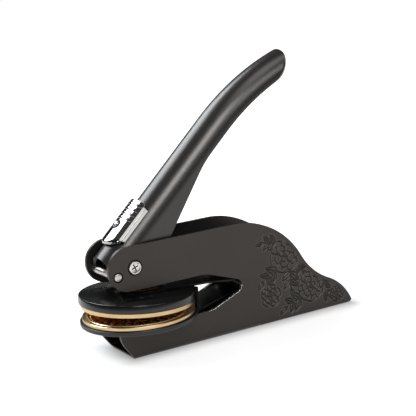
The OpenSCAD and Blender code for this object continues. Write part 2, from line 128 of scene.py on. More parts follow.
def arc(centre: Point, radius: float, start: float, end: float, steps: int) -> list[Point]:
    """Points of a circular arc.

    Args:
        centre: The circle's centre.
        radius: Its radius.
        start: First angle, in degrees.
        end: Last angle, in degrees.
        steps: Number of stretches.

    Returns:
        steps + 1 points.
    """
    turn = [math.radians(start + (end - start) * i / steps) for i in range(steps + 1)]
    return [(centre[0] + radius * math.cos(a), centre[1] + radius * math.sin(a)) for a in turn]


def bezier(a: Point, b: Point, c: Point, d: Point, steps: int) -> list[Point]:
    """Points of a cubic curve from a to d, with b and c as its handles."""
    made = []
    for i in range(steps + 1):
        t = i / steps
        u = 1 - t
        w = (u**3, 3 * u * u * t, 3 * u * t * t, t**3)
        made.append(tuple(sum(k * p[j] for k, p in zip(w, (a, b, c, d))) for j in (0, 1)))
    return made


def turned(p: Point, centre: Point, degrees: float) -> Point:
    """The point p turned about a centre."""
    a = math.radians(degrees)
    x, z = p[0] - centre[0], p[1] - centre[1]
    return (
        centre[0] + x * math.cos(a) - z * math.sin(a),
        centre[1] + x * math.sin(a) + z * math.cos(a),
    )


def smoothstep(low: float, high: float, value: Any) -> Any:
    """Share from 0 to 1 that eases in and out; value may be a number or an array."""
    t = np.clip((value - low) / (high - low), 0, 1)
    return t * t * (3 - 2 * t)


# ------------------------------------------------------------------ meshes


@dataclass
class Shape:
    """Corners and faces of a mesh, in millimetres."""

    corners: list[Vector] = field(default_factory=list)
    faces: list[tuple[int, ...]] = field(default_factory=list)

    def moved(self, matrix: Matrix) -> Shape:
        """A copy moved by a matrix."""
        return Shape([matrix @ c for c in self.corners], list(self.faces))

    def mirrored(self) -> Shape:
        """A copy on the other side of y = 0, with its faces pointing outwards."""
        flipped = [Vector((c.x, -c.y, c.z)) for c in self.corners]
        return Shape(flipped, [f[::-1] for f in self.faces])

    def __add__(self, other: Shape) -> Shape:
        """Both shapes as one, not joined."""
        shift = len(self.corners)
        more = [tuple(i + shift for i in f) for f in other.faces]
        return Shape(self.corners + other.corners, self.faces + more)


def loft(rings: Sequence[Sequence[Vector]], closed: bool = True, caps: bool = True) -> Shape:
    """Joins rings of equally many corners into a skin.

    Args:
        rings: The rings, in order.
        closed: Whether each ring runs back to its first corner.
        caps: Whether the first and last ring are filled.

    Returns:
        The skin.
    """
    count = len(rings[0])
    corners = [Vector(c) for ring in rings for c in ring]
    faces: list[tuple[int, ...]] = []
    for i in range(len(rings) - 1):
        for k in range(count if closed else count - 1):
            m = (k + 1) % count
            faces.append((i * count + k, i * count + m, (i + 1) * count + m, (i + 1) * count + k))
    if caps:
        last = (len(rings) - 1) * count
        faces.append(tuple(range(count - 1, -1, -1)))
        faces.append(tuple(range(last, last + count)))
    return Shape(corners, faces)


def lathe(profile: Sequence[Point], steps: int = 96) -> Shape:
    """Turns a closed profile (radius, height) about the z axis.

    Args:
        profile: Corners of the profile; a radius of 0 lies on the axis.
        steps: Number of stretches round the axis.

    Returns:
        The turned shape.
    """
    rings = []
    for i in range(steps):
        a = 2 * math.pi * i / steps
        rings.append([Vector((r * math.cos(a), r * math.sin(a), h)) for r, h in profile])
    return loft(rings + rings[:1], caps=False)


def prism(outline: Sequence[Point], y0: float, y1: float) -> Shape:
    """A side outline (x, z) thickened across the object, from y0 to y1."""
    return loft([[Vector((x, y, z)) for x, z in outline] for y in (y0, y1)])


def block(low: Sequence[float], high: Sequence[float]) -> Shape:
    """A box between two corners."""
    outline = [(low[0], low[2]), (high[0], low[2]), (high[0], high[2]), (low[0], high[2])]
    return prism(outline, low[1], high[1])


def tube(path: Sequence[Vector], radius: float, sides: int) -> Shape:
    """A round tube along a path, closed at both ends."""
    rings = []
    for i, at in enumerate(path):
        along = (path[min(i + 1, len(path) - 1)] - path[max(i - 1, 0)]).normalized()
        u = along.cross(Vector((0, 1, 0))).normalized()
        v = along.cross(u)
        turn = [2 * math.pi * k / sides for k in range(sides)]
        rings.append([at + radius * (math.cos(a) * u + math.sin(a) * v) for a in turn])
    return loft(rings)


def chamfered(radius: float, low: float, high: float, edge: float, bore: float = 0) -> list[Point]:
    """Profile of a disc or ring with broken edges."""
    inner = [(bore, high), (bore, low)] if bore else [(0, high), (0, low)]
    return inner + [(radius - edge, low), (radius, low + edge), (radius, high - edge),
                    (radius - edge, high)]


@dataclass(frozen=True)
class Bend:
    """Where a flexible piece leaves its own body and starts to follow another."""

    to: Body
    start: Vector
    end: Vector


def linked(name: str, data: bpy.types.ID) -> bpy.types.Object:
    """A new object of some data, put into the scene."""
    obj = bpy.data.objects.new(name, data)
    bpy.context.scene.collection.objects.link(obj)
    return obj


class Workshop:
    """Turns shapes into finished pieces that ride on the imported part's bodies."""

    def __init__(self) -> None:
        """Starts with an empty list of pieces."""
        self.made: list[bpy.types.Object] = []

    def object_of(self, name: str, shape: Shape) -> bpy.types.Object:
        """A mesh object of a shape, with doubles merged and faces pointing outwards."""
        mesh = bpy.data.meshes.new(name)
        mesh.from_pydata([tuple(c) for c in shape.corners], [], shape.faces)
        tidy = bmesh.new()
        tidy.from_mesh(mesh)
        bmesh.ops.remove_doubles(tidy, verts=tidy.verts, dist=1e-4)
        bmesh.ops.recalc_face_normals(tidy, faces=tidy.faces)
        tidy.to_mesh(mesh)
        tidy.free()
        return linked(name, mesh)

    def baked(self, obj: bpy.types.Object) -> None:
        """Makes an object's modifiers part of its mesh, and removes them."""
        graph = bpy.context.evaluated_depsgraph_get()
        graph.update()
        mesh = bpy.data.meshes.new_from_object(obj.evaluated_get(graph))
        obj.modifiers.clear()
        obj.data = mesh

    def cut(
        self,
        obj: bpy.types.Object,
        tool: Shape,
        operation: str = "DIFFERENCE",
        crossed: bool = False,
    ) -> None:
        """Cuts a shape away from an object, or intersects them.

        Args:
            obj: The object that changes.
            tool: The shape.
            operation: The Boolean modifier's operation.
            crossed: Whether the shape's own parts run through each other.
        """
        cutter = self.object_of("cutter", tool)
        modifier = obj.modifiers.new("cut", "BOOLEAN")
        modifier.operation, modifier.solver, modifier.object = operation, "EXACT", cutter
        modifier.use_self = crossed
        self.baked(obj)
        bpy.data.objects.remove(cutter)

    def edged(self, obj: bpy.types.Object, width: float, angle: float, segments: int = 2) -> None:
        """Rounds the edges that are sharper than an angle, and keeps flat faces flat."""
        if width > 0:
            obj.data.shade_smooth()
            bevel = obj.modifiers.new("edge", "BEVEL")
            bevel.width = width
            bevel.segments = segments
            bevel.limit_method = "ANGLE"
            bevel.angle_limit = math.radians(angle)
            bevel.use_clamp_overlap = True
            bevel.harden_normals = True
            self.baked(obj)

    def smoothed(self, obj: bpy.types.Object, angle: float) -> None:
        """Shades an object smooth, but for edges sharper than an angle."""
        if not obj.data.has_custom_normals:
            obj.data.shade_smooth()
            obj.data.set_sharp_from_angle(angle=math.radians(angle))

    def finish(
        self,
        obj: bpy.types.Object,
        body: Body,
        material: bpy.types.Material,
        slot: str,
        replaces: Sequence[str] = (),
        smooth: float = 40,
        bend: Bend | None = None,
    ) -> bpy.types.Object:
        """Brings a piece from millimetres into its place, and hands it to its body unless a bend is
        given.

        Args:
            obj: The piece, in millimetres.
            body: The body that it rides on.
            material: Its material.
            slot: Not used.
            replaces: CAD nodes that it stands for.
            smooth: Angle up to which edges shade smooth, in degrees.
            bend: Second body and where the bend lies; its ends are worked out but not used, so the
                piece does not bend and is left on no body.

        Returns:
            The piece.
        """
        obj.data.transform(TO_ROW)
        obj.data.materials.clear()
        obj.data.materials.append(material)
        self.smoothed(obj, smooth)
        if bend:
            ends = (tuple(TO_ROW @ point) for point in (bend.start, bend.end))
            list(ends)
            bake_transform(obj)
        else:
            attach(obj, body.value)
        if replaces:
            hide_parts(*replaces)
        self.made.append(obj)
        bends = f", bends to {bend.to.value}" if bend else ""
        LOG.info("%s: %d faces, on %s%s", obj.name, len(obj.data.polygons), body.value, bends)
        return obj

    def piece(
        self,
        name: str,
        shape: Shape,
        body: Body,
        material: bpy.types.Material,
        slot: str,
        replaces: Sequence[str] = (),
        edge: float = 0,
        edge_angle: float = 50,
        smooth: float = 40,
    ) -> bpy.types.Object:
        """A shape as a finished piece; edge is the width of its rounded edges."""
        obj = self.object_of(name, shape)
        self.edged(obj, edge, edge_angle)
        return self.finish(obj, body, material, slot, replaces, smooth)


# ------------------------------------------------------------------ node graphs


@dataclass(frozen=True)
class Wire:
    """An output of a node, on which Python's operators add Math nodes."""

    graph: Graph
    socket: bpy.types.NodeSocket

    def _math(self, operation: str, *values: Any) -> Wire:
        """One Math node on some values."""
        return self.graph.node(
            "ShaderNodeMath", {"operation": operation}, dict(enumerate(values))
        )

    def __add__(self, other: Any) -> Wire:
        """Sum."""
        return self._math("ADD", self, other)

    __radd__ = __add__

    def __sub__(self, other: Any) -> Wire:
        """Difference."""
        return self._math("SUBTRACT", self, other)

    def __rsub__(self, other: Any) -> Wire:
        """Difference, the other way round."""
        return self._math("SUBTRACT", other, self)

    def __mul__(self, other: Any) -> Wire:
        """Product."""
        return self._math("MULTIPLY", self, other)

    def __truediv__(self, other: Any) -> Wire:
        """Quotient."""
        return self._math("DIVIDE", self, other)

    def __pow__(self, other: Any) -> Wire:
        """Power."""
        return self._math("POWER", self, other)

    def at_least(self, other: Any) -> Wire:
        """The larger of two values."""
        return self._math("MAXIMUM", self, other)

    def at_most(self, other: Any) -> Wire:
        """The smaller of two values."""
        return self._math("MINIMUM", self, other)

    def eased(self, low: float, high: float) -> Wire:
        """Share from 0 to 1 that eases in and out between two values."""
        return self.graph.node(
            "ShaderNodeMapRange",
            {"interpolation_type": "SMOOTHSTEP"},
            {"Value": self, "From Min": low, "From Max": high},
        )


class Graph:
    """Adds nodes to one node tree and links them."""

    def __init__(self, tree: bpy.types.NodeTree) -> None:
        """Keeps the tree that the nodes go into."""
        self.tree = tree

    def node(
        self,
        kind: str,
        settings: dict[str, Any] | None = None,
        values: dict[int | str, Any] | None = None,
        out: int | str = 0,
    ) -> Wire:
        """Adds a node.

        Args:
            kind: The node's type.
            settings: Its settings, set first.
            values: Values or wires for its inputs, by name or number.
            out: Which output to hand back.

        Returns:
            The chosen output.
        """
        made = self.tree.nodes.new(kind)
        for key, value in (settings or {}).items():
            setattr(made, key, value)
        for key, value in (values or {}).items():
            if isinstance(value, Wire):
                self.tree.links.new(value.socket, made.inputs[key])
            else:
                made.inputs[key].default_value = value
        return Wire(self, made.outputs[out]) if made.outputs else Wire(self, None)

    def part(self, vector: Wire, axis: int | str) -> Wire:
        """One coordinate of a vector."""
        return self.node("ShaderNodeSeparateXYZ", None, {0: vector}, out=axis)

    def vector(self, operation: str, *values: Any, out: int | str = 0) -> Wire:
        """One Vector Math node on some values."""
        return self.node(
            "ShaderNodeVectorMath", {"operation": operation}, dict(enumerate(values)), out
        )

    def rays(self, *kinds: str) -> Wire:
        """1 for rays of these kinds and 0 for all others."""
        return sum(
            self.node("ShaderNodeLightPath", out=f"Is {kind} Ray") for kind in kinds
        ).at_most(1)

    def mixed(self, share: Any, a: Any, b: Any) -> Wire:
        """A colour between a and b."""
        return self.node(
            "ShaderNodeMix", {"data_type": "RGBA"}, {0: share, 6: a, 7: b}, out=2
        )

    def noise(self, place: Wire, size: float, detail: float = 2, stretch: Any = None) -> Wire:
        """Noise with features of a size in millimetres, from 0 to 1."""
        if stretch is not None:
            place = self.vector("MULTIPLY", place, stretch)
        return self.node(
            "ShaderNodeTexNoise", None,
            {"Vector": place, "Scale": 1000 / size, "Detail": detail, "Roughness": 0.55},
        )

    def bump(self, height: Wire, depth: float) -> Wire:
        """Normals of a height, whose full range is a depth in millimetres."""
        return self.node(
            "ShaderNodeBump", None, {"Height": height, "Distance": depth / 1000, "Strength": 1}
        )


def srgb(code: str) -> Colour:
    """A colour written as six hex digits, as linear light."""
    parts = [int(code[i : i + 2], 16) / 255 for i in (0, 2, 4)]
    light = [c / 12.92 if c <= 0.04045 else ((c + 0.055) / 1.055) ** 2.4 for c in parts]
    return (light[0], light[1], light[2], 1.0)


# ------------------------------------------------------------------ finishes


def new_material(name: str) -> tuple[bpy.types.Material, Graph, Wire]:
    """An empty material, its graph and its Object coordinates."""
    material = bpy.data.materials.new(name)
    material.use_nodes = True
    material.node_tree.nodes.clear()
    graph = Graph(material.node_tree)
    return material, graph, graph.node("ShaderNodeTexCoord", out="Object")


def shaded(graph: Graph, values: dict[str, Any]) -> None:
    """Ends a graph in a Principled shader with these values."""
    shader = graph.node("ShaderNodeBsdfPrincipled", None, values)
    graph.node("ShaderNodeOutputMaterial", None, {"Surface": shader})


@dataclass(frozen=True)
class Paint:
    """Sprayed and baked paint or lacquer: a little uneven in tone, with a fine skin."""

    name: str
    colour: str
    shade: str
    roughness: float = 0.42
    grain: float = 0.25
    grain_depth: float = 0.004
    specular: float = 0.5
    # Strength of the pale edges; above zero this also turns on the painted highlight and painted
    # shade below.
    wear_and_painted_light: float = 0.0
    # Pale colour on the rounded edges and beside engraved lines: partly wear, partly painted
    # highlight.
    wear_and_highlight: str = "6a655e"
    # Pale steel painted on the throat's upward-facing lower edge as a highlight.
    steel: str = "dedad2"
    # Near black painted on the cheeks' inner faces as shade.
    inner: str = "0e0e0c"
    sheen: Colour = (1.0, 1.0, 1.0, 1.0)

    def aged(self, g: Graph, place: Wire, colour: Wire, roughness: Wire) -> tuple[Any, Any, Any]:
        """If asked for, pales the rounded edges, as wear and as painted highlight, and paints a
        steel highlight on the throat's lower edge and shade on the cheeks' inner faces.

        Args:
            g: The material's graph.
            place: Object coordinates.
            colour: The fresh paint's colour.
            roughness: The fresh paint's roughness.

        Returns:
            Colour, roughness and how metallic it is.
        """
        if not self.wear_and_painted_light:
            return colour, roughness, 0.0
        facing = g.node("ShaderNodeNewGeometry", out="Normal")
        across, up = g.part(facing, "Y"), g.part(facing, "Z")
        along, high = g.part(place, "X"), g.part(place, "Z")
        flat = across.at_least(0 - across)
        # rim marks the rounded edges; they are paled, partly as wear and partly as painted
        # highlight.
        rim = flat.eased(0.2, 0.5) * (1 - flat.eased(0.9, 0.99)) * self.wear_and_painted_light
        # The throat's lower jaw: its upward-facing bevels take pale steel below, a painted
        # highlight.
        throat_highlight_zone = (
            along.eased(-0.014, -0.012) * (1 - along.eased(0.0055, 0.006))
            * high.eased(0.009, 0.01) * (1 - high.eased(0.0178, 0.0182))
        )
        # inside marks the cheeks' inner faces; below they are darkened as painted shade.
        inside = (0 - g.part(place, "Y") * across).eased(0.001, 0.004)
        steel_highlight = rim * throat_highlight_zone * up.eased(0.0, 0.15) * 0.6
        colour = g.mixed(inside, colour, srgb(self.inner))
        colour = g.mixed(rim * 0.4, colour, srgb(self.wear_and_highlight))
        colour = g.mixed((steel_highlight * 1.6).at_most(1), colour, srgb(self.steel))
        return colour, roughness - rim * 0.16 + steel_highlight * 0.35, steel_highlight

    def build(self) -> bpy.types.Material:
        """The paint as a material."""
        material, g, place = new_material(self.name)
        fine = g.noise(place, 1.1, 3)
        tone = (g.noise(place, 14, 3) * 0.7 + fine * 0.3).eased(0.3, 0.7)
        skin = g.noise(place, self.grain, 2) + g.noise(place, 2.5, 1) * 0.6
        colour, roughness, steel_highlight = self.aged(
            g, place, g.mixed(tone, srgb(self.shade), srgb(self.colour)),
            self.roughness + (fine - 0.5) * 0.08,
        )
        shaded(g, {
            "Base Color": colour,
            "Metallic": steel_highlight,
            "Roughness": roughness,
            "Specular Tint": self.sheen,
            "Specular IOR Level": self.specular,
            "Normal": g.bump(skin, self.grain_depth),
        })
        return material


@dataclass(frozen=True)
class TurnedMetal:
    """Metal turned on a lathe: fine rings about an axis."""

    name: str
    colour: str
    shade: str
    centre: tuple[float, float, float]
    axis: int
    roughness: float = 0.25
    pitch: float = 0.18
    depth: float = 0.0012

    def build(self) -> bpy.types.Material:
        """The metal as a material."""
        material, g, place = new_material(self.name)
        middle = TO_ROW @ Vector(self.centre)
        local = g.vector("SUBTRACT", place, tuple(middle))
        flat = [1.0, 1.0, 1.0]
        flat[self.axis] = 0.0
        radius = g.vector("LENGTH", g.vector("MULTIPLY", local, tuple(flat)), out="Value")
        lines = g.node("ShaderNodeCombineXYZ", None, {0: radius, 1: g.part(local, self.axis)})
        rings = g.noise(lines, self.pitch, 1)
        cloud = g.noise(place, 5, 3)
        shaded(g, {
            "Base Color": g.mixed(
                (cloud * 0.6 + rings * 0.4).eased(0.3, 0.7), srgb(self.shade), srgb(self.colour)
            ),
            "Metallic": 1.0,
            "Roughness": self.roughness + (rings - 0.5) * 0.1,
            "Normal": g.bump(rings, self.depth),
        })
        return material


@dataclass(frozen=True)
class Metal:
    """Bare or plated metal: smudged, with fine scratches along one direction."""

    name: str
    colour: str
    shade: str
    roughness: float = 0.2
    smudge: float = 0.06
    stretch: tuple[float, float, float] = (1.0, 1.0, 1.0)
    scratch: float = 0.3
    depth: float = 0.0006

    def build(self) -> bpy.types.Material:
        """The metal as a material."""
        material, g, place = new_material(self.name)
        cloud = g.noise(place, 6, 4)
        lines = g.noise(place, self.scratch, 2, self.stretch)
        shaded(g, {
            "Base Color": g.mixed(cloud.eased(0.3, 0.7), srgb(self.shade), srgb(self.colour)),
            "Metallic": 1.0,
            "Roughness": self.roughness + (cloud - 0.5) * self.smudge,
            "Normal": g.bump(lines, self.depth),
        })
        return material


@dataclass(frozen=True)
class EngravedPaint(Paint):
    """The frame's paint on the engraved field, darker in the cuts as painted shade and paler beside
    them as painted highlight.
    """

    # Near black painted in the cuts as shade.
    cut: str = "060605"

    def aged(self, g: Graph, place: Wire, colour: Wire, roughness: Wire) -> tuple[Any, Any, Any]:
        """Reads how deep the surface is cut, for painted shade in the cut; below zero is the raised
        lip beside a cut, for a painted highlight.
        """
        depth = g.node(
            "ShaderNodeAttribute", {"attribute_name": "cut", "attribute_type": "GEOMETRY"},
            out="Fac",
        )
        cut, lip = depth.at_least(0), (0 - depth).at_least(0)
        colour = g.mixed(lip, colour, srgb(self.wear_and_highlight))
        return g.mixed(cut ** 0.7, colour, srgb(self.cut)), roughness + cut * 0.1, 0.0


class Palette:
    """Every finish of the object, built once."""

    def __init__(self) -> None:
        """Builds the materials."""
        die = (DIE_X, 0.0, 14.0)
        pin = (PIVOT[0], 0.0, PIVOT[1])
        stop = (STOP[0], 0.0, STOP[1])
        warm = (1.0, 0.93, 0.87, 1.0)
        self.frame = Paint(
            "frame_paint", "211c19", "1b1714", 0.4, wear_and_painted_light=1.0, sheen=warm
        ).build()
        self.engraved = EngravedPaint(
            "engraved_paint", "211c19", "1b1714", 0.4, sheen=warm
        ).build()
        self.anvil = Paint("anvil_black", "0f0e0e", "0b0b0a", 0.4).build()
        self.handle = Paint(
            "handle_lacquer", "1f1c1b", "1b1817", 0.31, grain_depth=0.0002, specular=0.6,
            sheen=(1.0, 0.96, 0.93, 1.0)
        ).build()
        self.disc = Paint("disc_black", "0f0f0f", "0a0a0a", 0.24, grain_depth=0.0006).build()
        self.clip = Metal(
            "clip_black", "2a2a29", "191918", 0.36, 0.1, (1, 8, 1), 0.4, 0.0008
        ).build()
        self.rim = TurnedMetal("rim_brass", "d2b88c", "bfa276", die, 2, 0.3).build()
        # Near-white lip of the lower rim: a painted highlight on the brass.
        self.lip = TurnedMetal("rim_lip_highlight", "f2eee8", "dcd4c8", die, 2, 0.28).build()
        self.ground = TurnedMetal("face_ground", "7a4a1c", "3f2410", die, 2, 0.45).build()
        self.figure = Metal("face_figure", "e0a452", "b0742c", 0.28).build()
        self.pivot = TurnedMetal(
            "pivot_steel", "dedcd8", "bcbab6", pin, 1, 0.26, depth=0.0003
        ).build()
        self.stop = TurnedMetal(
            "stop_steel", "d4d0cb", "aea9a3", stop, 1, 0.4, depth=0.0006
        ).build()
        # Near-black, dull finish put where shade falls: painted shadow round the heads and the
        # stud, and painted shade on the ears.
        self.gap = Paint("shadow_black", "070706", "050504", 0.5, specular=0.1).build()
        self.chrome = Metal("slide_chrome", "b9b8b5", "adaca9", 0.09, 0.03, depth=0.0).build()
        self.steel = Metal("plain_steel", "a8a8a8", "8c8c8c", 0.32, 0.1, (1, 10, 1)).build()
        self.pad = Metal("pad_bronze", "6e4a2c", "4a2f1a", 0.45, 0.1).build()
        self.wire = Metal("spring_wire", "b4b4b2", "8e8e8c", 0.28, 0.08).build()


# ------------------------------------------------------------------ repeated parts


class Repeats:
    """Geometry Nodes trees that set out copies of a small part."""

    def __init__(self, shop: Workshop) -> None:
        """Keeps the workshop that turns results into pieces."""
        self.shop = shop

    def _tree(self, name: str, sizes: dict[str, str]) -> tuple[Graph, bpy.types.Node]:
        """An empty tree with named inputs.

        Args:
            name: The tree's name.
            sizes: Input names and their socket types.

        Returns:
            The graph and its input node.
        """
        tree = bpy.data.node_groups.new(name, "GeometryNodeTree")
        tree.interface.new_socket("Geometry", in_out="INPUT", socket_type="NodeSocketGeometry")
        tree.interface.new_socket("Geometry", in_out="OUTPUT", socket_type="NodeSocketGeometry")
        for label, kind in sizes.items():
            tree.interface.new_socket(label, in_out="INPUT", socket_type=kind)
        return Graph(tree), tree.nodes.new("NodeGroupInput")

    def _end(self, g: Graph, places: Wire, part: Wire, rotation: Any, material: Any) -> None:
        """Sets the copies out, makes them real and gives them their material."""
        spread = {"Points": places, "Instance": part}
        if rotation is not None:
            spread["Rotation"] = rotation
        copies = g.node("GeometryNodeInstanceOnPoints", None, spread)
        real = g.node("GeometryNodeRealizeInstances", None, {0: copies})
        dressed = g.node("GeometryNodeSetMaterial", None, {0: real, "Material": material})
        g.node("NodeGroupOutput", None, {0: dressed})

    def _run(self, obj: bpy.types.Object, g: Graph, sizes: dict[str, Any]) -> None:
        """Runs a tree on an object and keeps the result as its mesh."""
        modifier = obj.modifiers.new("copies", "NODES")
        modifier.node_group = g.tree
        for item in g.tree.interface.items_tree:
            if item.in_out == "INPUT" and item.name in sizes:
                modifier[item.identifier] = sizes[item.name]
        self.shop.baked(obj)

    def row(
        self, obj: bpy.types.Object, count: int, step: Vector, material: bpy.types.Material
    ) -> None:
        """Repeats an object in a straight row.

        Args:
            obj: The object; its own place is the row's first.
            count: How many there are.
            step: From one to the next.
            material: Material of the copies.
        """
        g, entry = self._tree(
            obj.name + "_row", {"Count": "NodeSocketInt", "Step": "NodeSocketVector"}
        )
        line = g.node(
            "GeometryNodeMeshLine", {"mode": "OFFSET"},
            {"Count": Wire(g, entry.outputs["Count"]), "Offset": Wire(g, entry.outputs["Step"])},
        )
        self._end(g, line, Wire(g, entry.outputs["Geometry"]), None, material)
        self._run(obj, g, {"Count": count, "Step": tuple(step)})

    def ring(
        self, obj: bpy.types.Object, count: int, radius: float, material: bpy.types.Material
    ) -> None:
        """Repeats an object in a ring about z, each copy turned with its place.

        Args:
            obj: The object, drawn at the ring's centre and pointing along x.
            count: How many there are.
            radius: The ring's radius.
            material: Material of the copies.
        """
        g, entry = self._tree(
            obj.name + "_ring", {"Count": "NodeSocketInt", "Radius": "NodeSocketFloat"}
        )
        number = Wire(g, entry.outputs["Count"])
        circle = g.node(
            "GeometryNodeMeshCircle", {"fill_type": "NONE"},
            {"Vertices": number, "Radius": Wire(g, entry.outputs["Radius"])},
        )
        index = g.node("GeometryNodeInputIndex")
        turn = g.node("ShaderNodeCombineXYZ", None, {2: index * (2 * math.pi) / number})
        self._end(g, circle, Wire(g, entry.outputs["Geometry"]), turn, material)
        self._run(obj, g, {"Count": count, "Radius": radius})


# ------------------------------------------------------------------ frame


@dataclass
class FoldedFrame:
    """The folded sheet frame: floor, two cheeks with arms and throat, and the anvil."""

    shop: Workshop
    palette: Palette
    tail_x: float = 96.4
    cheek_h: float = 41.2
    arm_z: float = 25.1
    jaw_z: float = 10.9
    hump_x: float = 44.8
    hump_r: float = 33.0
    hump_end: float = 28.4
    saddle_r: float = 26.6
    saddle_end: float = 65.0
    tail_r: float = 21.0
    throat: Point = (51.1, 18.15)
    throat_up: float = 19.4
    throat_down: float = 21.8
    nose_r: float = 2.6
    ease_r: float = 12.0
    front_x: float = -5.2
    field_x: float = 53.0
    edge: float = 0.28

    def centres(self) -> tuple[Point, Point, Point]:
        """Centres of the arcs that make the hump, the saddle and the tail."""
        out, back = math.radians(self.hump_end), math.radians(self.saddle_end)
        hump = (self.hump_x, self.cheek_h - self.hump_r)
        reach = self.hump_r + self.saddle_r
        saddle = (hump[0] + reach * math.cos(out), hump[1] + reach * math.sin(out))
        reach = self.saddle_r + self.tail_r
        tail = (saddle[0] - reach * math.cos(back), saddle[1] - reach * math.sin(back))
        return hump, saddle, tail

    def outline(self) -> list[Point]:
        """Side outline of a cheek, counter-clockwise from the underside's front edge."""
        hump, saddle, tail = self.centres()
        up, down = math.radians(self.throat_up), math.radians(self.throat_down)
        top_x = self.throat[0] - (self.arm_z - self.throat[1]) / math.tan(up)
        low_x = self.throat[0] - (self.throat[1] - self.jaw_z) / math.tan(down)
        depth = self.nose_r / math.sin((up + down) / 2)
        way = math.pi + (down - up) / 2
        nose = (self.throat[0] + depth * math.cos(way), self.throat[1] + depth * math.sin(way))
        top_x -= self.ease_r * math.tan(up / 2)
        low_x -= self.ease_r * math.tan(down / 2)
        arm_r = (self.cheek_h - self.arm_z) / 2
        return (
            [(0.0, 0.0)]
            + arc((5, 10.5), 10.2, 215.6, 180, 8)
            + [(self.front_x, self.jaw_z - 0.4), (self.front_x + 0.4, self.jaw_z)]
            + arc((low_x, self.jaw_z + self.ease_r), self.ease_r, -90, -90 + self.throat_down, 8)
            + arc(nose, self.nose_r, -90 + self.throat_down, 90 - self.throat_up, 20)
            + arc((top_x, self.arm_z - self.ease_r), self.ease_r, 90 - self.throat_up, 90, 8)
            + arc((0.6, self.arm_z + arm_r), arm_r, 270, 90, 72)
            + arc(hump, self.hump_r, 90, self.hump_end, 40)
            + arc(saddle, self.saddle_r, 180 + self.hump_end, 180 + self.saddle_end, 30)[1:]
            + arc(tail, self.tail_r, self.saddle_end, 25, 24)[1:]
            + arc((self.tail_x - 1.4, 1.4), 1.4, 10, -90, 12)
        )

    def field_edge(self, inset: float = 0.75) -> list[Point]:
        """Edge of the engraved field at a cheek's rear, set in from the outline."""
        hump, saddle, tail = self.centres()
        radius = self.hump_r - inset
        lead = math.degrees(math.acos((self.field_x - hump[0]) / radius))
        return (
            [(self.field_x, inset + 1.0), (self.field_x + 1, inset), (self.tail_x - 1.6, inset)]
            + arc(tail, self.tail_r - inset, 27, self.saddle_end, 20)
            + arc(saddle, self.saddle_r + inset, 180 + self.saddle_end, 180 + self.hump_end, 24)[1:]
            + arc(hump, radius, self.hump_end, lead, 24)[1:]
        )

    def section(self) -> list[Point]:
        """The folded sheet's section (y, z), open at the top."""
        half, inner, top = FRAME_W / 2, INNER_HALF, self.cheek_h + 5
        outer_r, inner_r = 1.5, 0.5
        right = arc((half - outer_r, outer_r), outer_r, -90, 0, 8) + [(half, top), (inner, top)]
        right += arc((inner - inner_r, SHEET + inner_r), inner_r, 0, -90, 6)
        return right + [(-y, z) for y, z in reversed(right)]

    def build_sheet(self) -> bpy.types.Object:
        """The folded sheet with its sunk rings, the fields' pockets and the ears' notches."""
        skin = loft([[Vector((x, y, z)) for y, z in self.section()] for x in (-9.0, 98.0)])
        obj = self.shop.object_of("folded_frame", skin)
        self.shop.cut(obj, prism(self.outline(), -FRAME_W, FRAME_W), "INTERSECT")
        half = FRAME_W / 2
        cuts = Shape()
        for at, radius in SUNK_R.items():
            sink = lathe([(0, 0), (radius, 0), (radius, 3), (0, 3)], 64).moved(
                Matrix.Translation((at[0], half - SUNK, at[1])) @ CROSSWISE
            )
            cuts = cuts + sink + sink.mirrored()
        self.shop.cut(obj, cuts)
        self.shop.edged(obj, self.edge, 35, 3)
        pocket = prism(self.field_edge(), half - 0.4, half + 1)
        pocket = pocket + block((26.3, INNER_HALF - 1, 8.8), (28.4, half - 0.38, 20))
        self.shop.cut(obj, pocket + pocket.mirrored())
        return self.shop.finish(
            obj, Body.FRAME, self.palette.frame, "frame_paint", ["frame"], smooth=32
        )

    def build_anvil(self) -> bpy.types.Object:
        """The flat plate between the cheeks under the lower die."""
        half = INNER_HALF - 0.03
        shape = block((-5.0, -half, 9.2), (26.5, half, 10.6))
        return self.shop.piece(
            "anvil", shape, Body.FRAME, self.palette.anvil, "anvil_black", ["anvil_plate"], 0.15
        )

    def build_bright_edges(self) -> None:
        """Steel lines along the throat's lower edge on both cheeks: a painted highlight."""
        inset, thick = 0.1, 0.13
        outline = self.outline()
        nose = max(outline[10:60], key=lambda p: p[0] if p[1] < self.arm_z else 0)
        path = [p for p in outline if 29.5 < p[0] <= nose[0] and self.jaw_z < p[1] <= nose[1]]
        for name, side in (("throat_edge", -1), ("throat_edge_far", 1)):
            across = side * (FRAME_W / 2 - inset)
            line = [Vector((x + 0.03, across, z - inset)) for x, z in path]
            self.shop.piece(
                name, tube(line, thick, 10), Body.FRAME, self.palette.pivot, "frame_paint"
            )

    def build(self) -> None:
        """Every piece of the frame."""
        self.build_sheet()
        self.build_bright_edges()
        self.build_anvil()


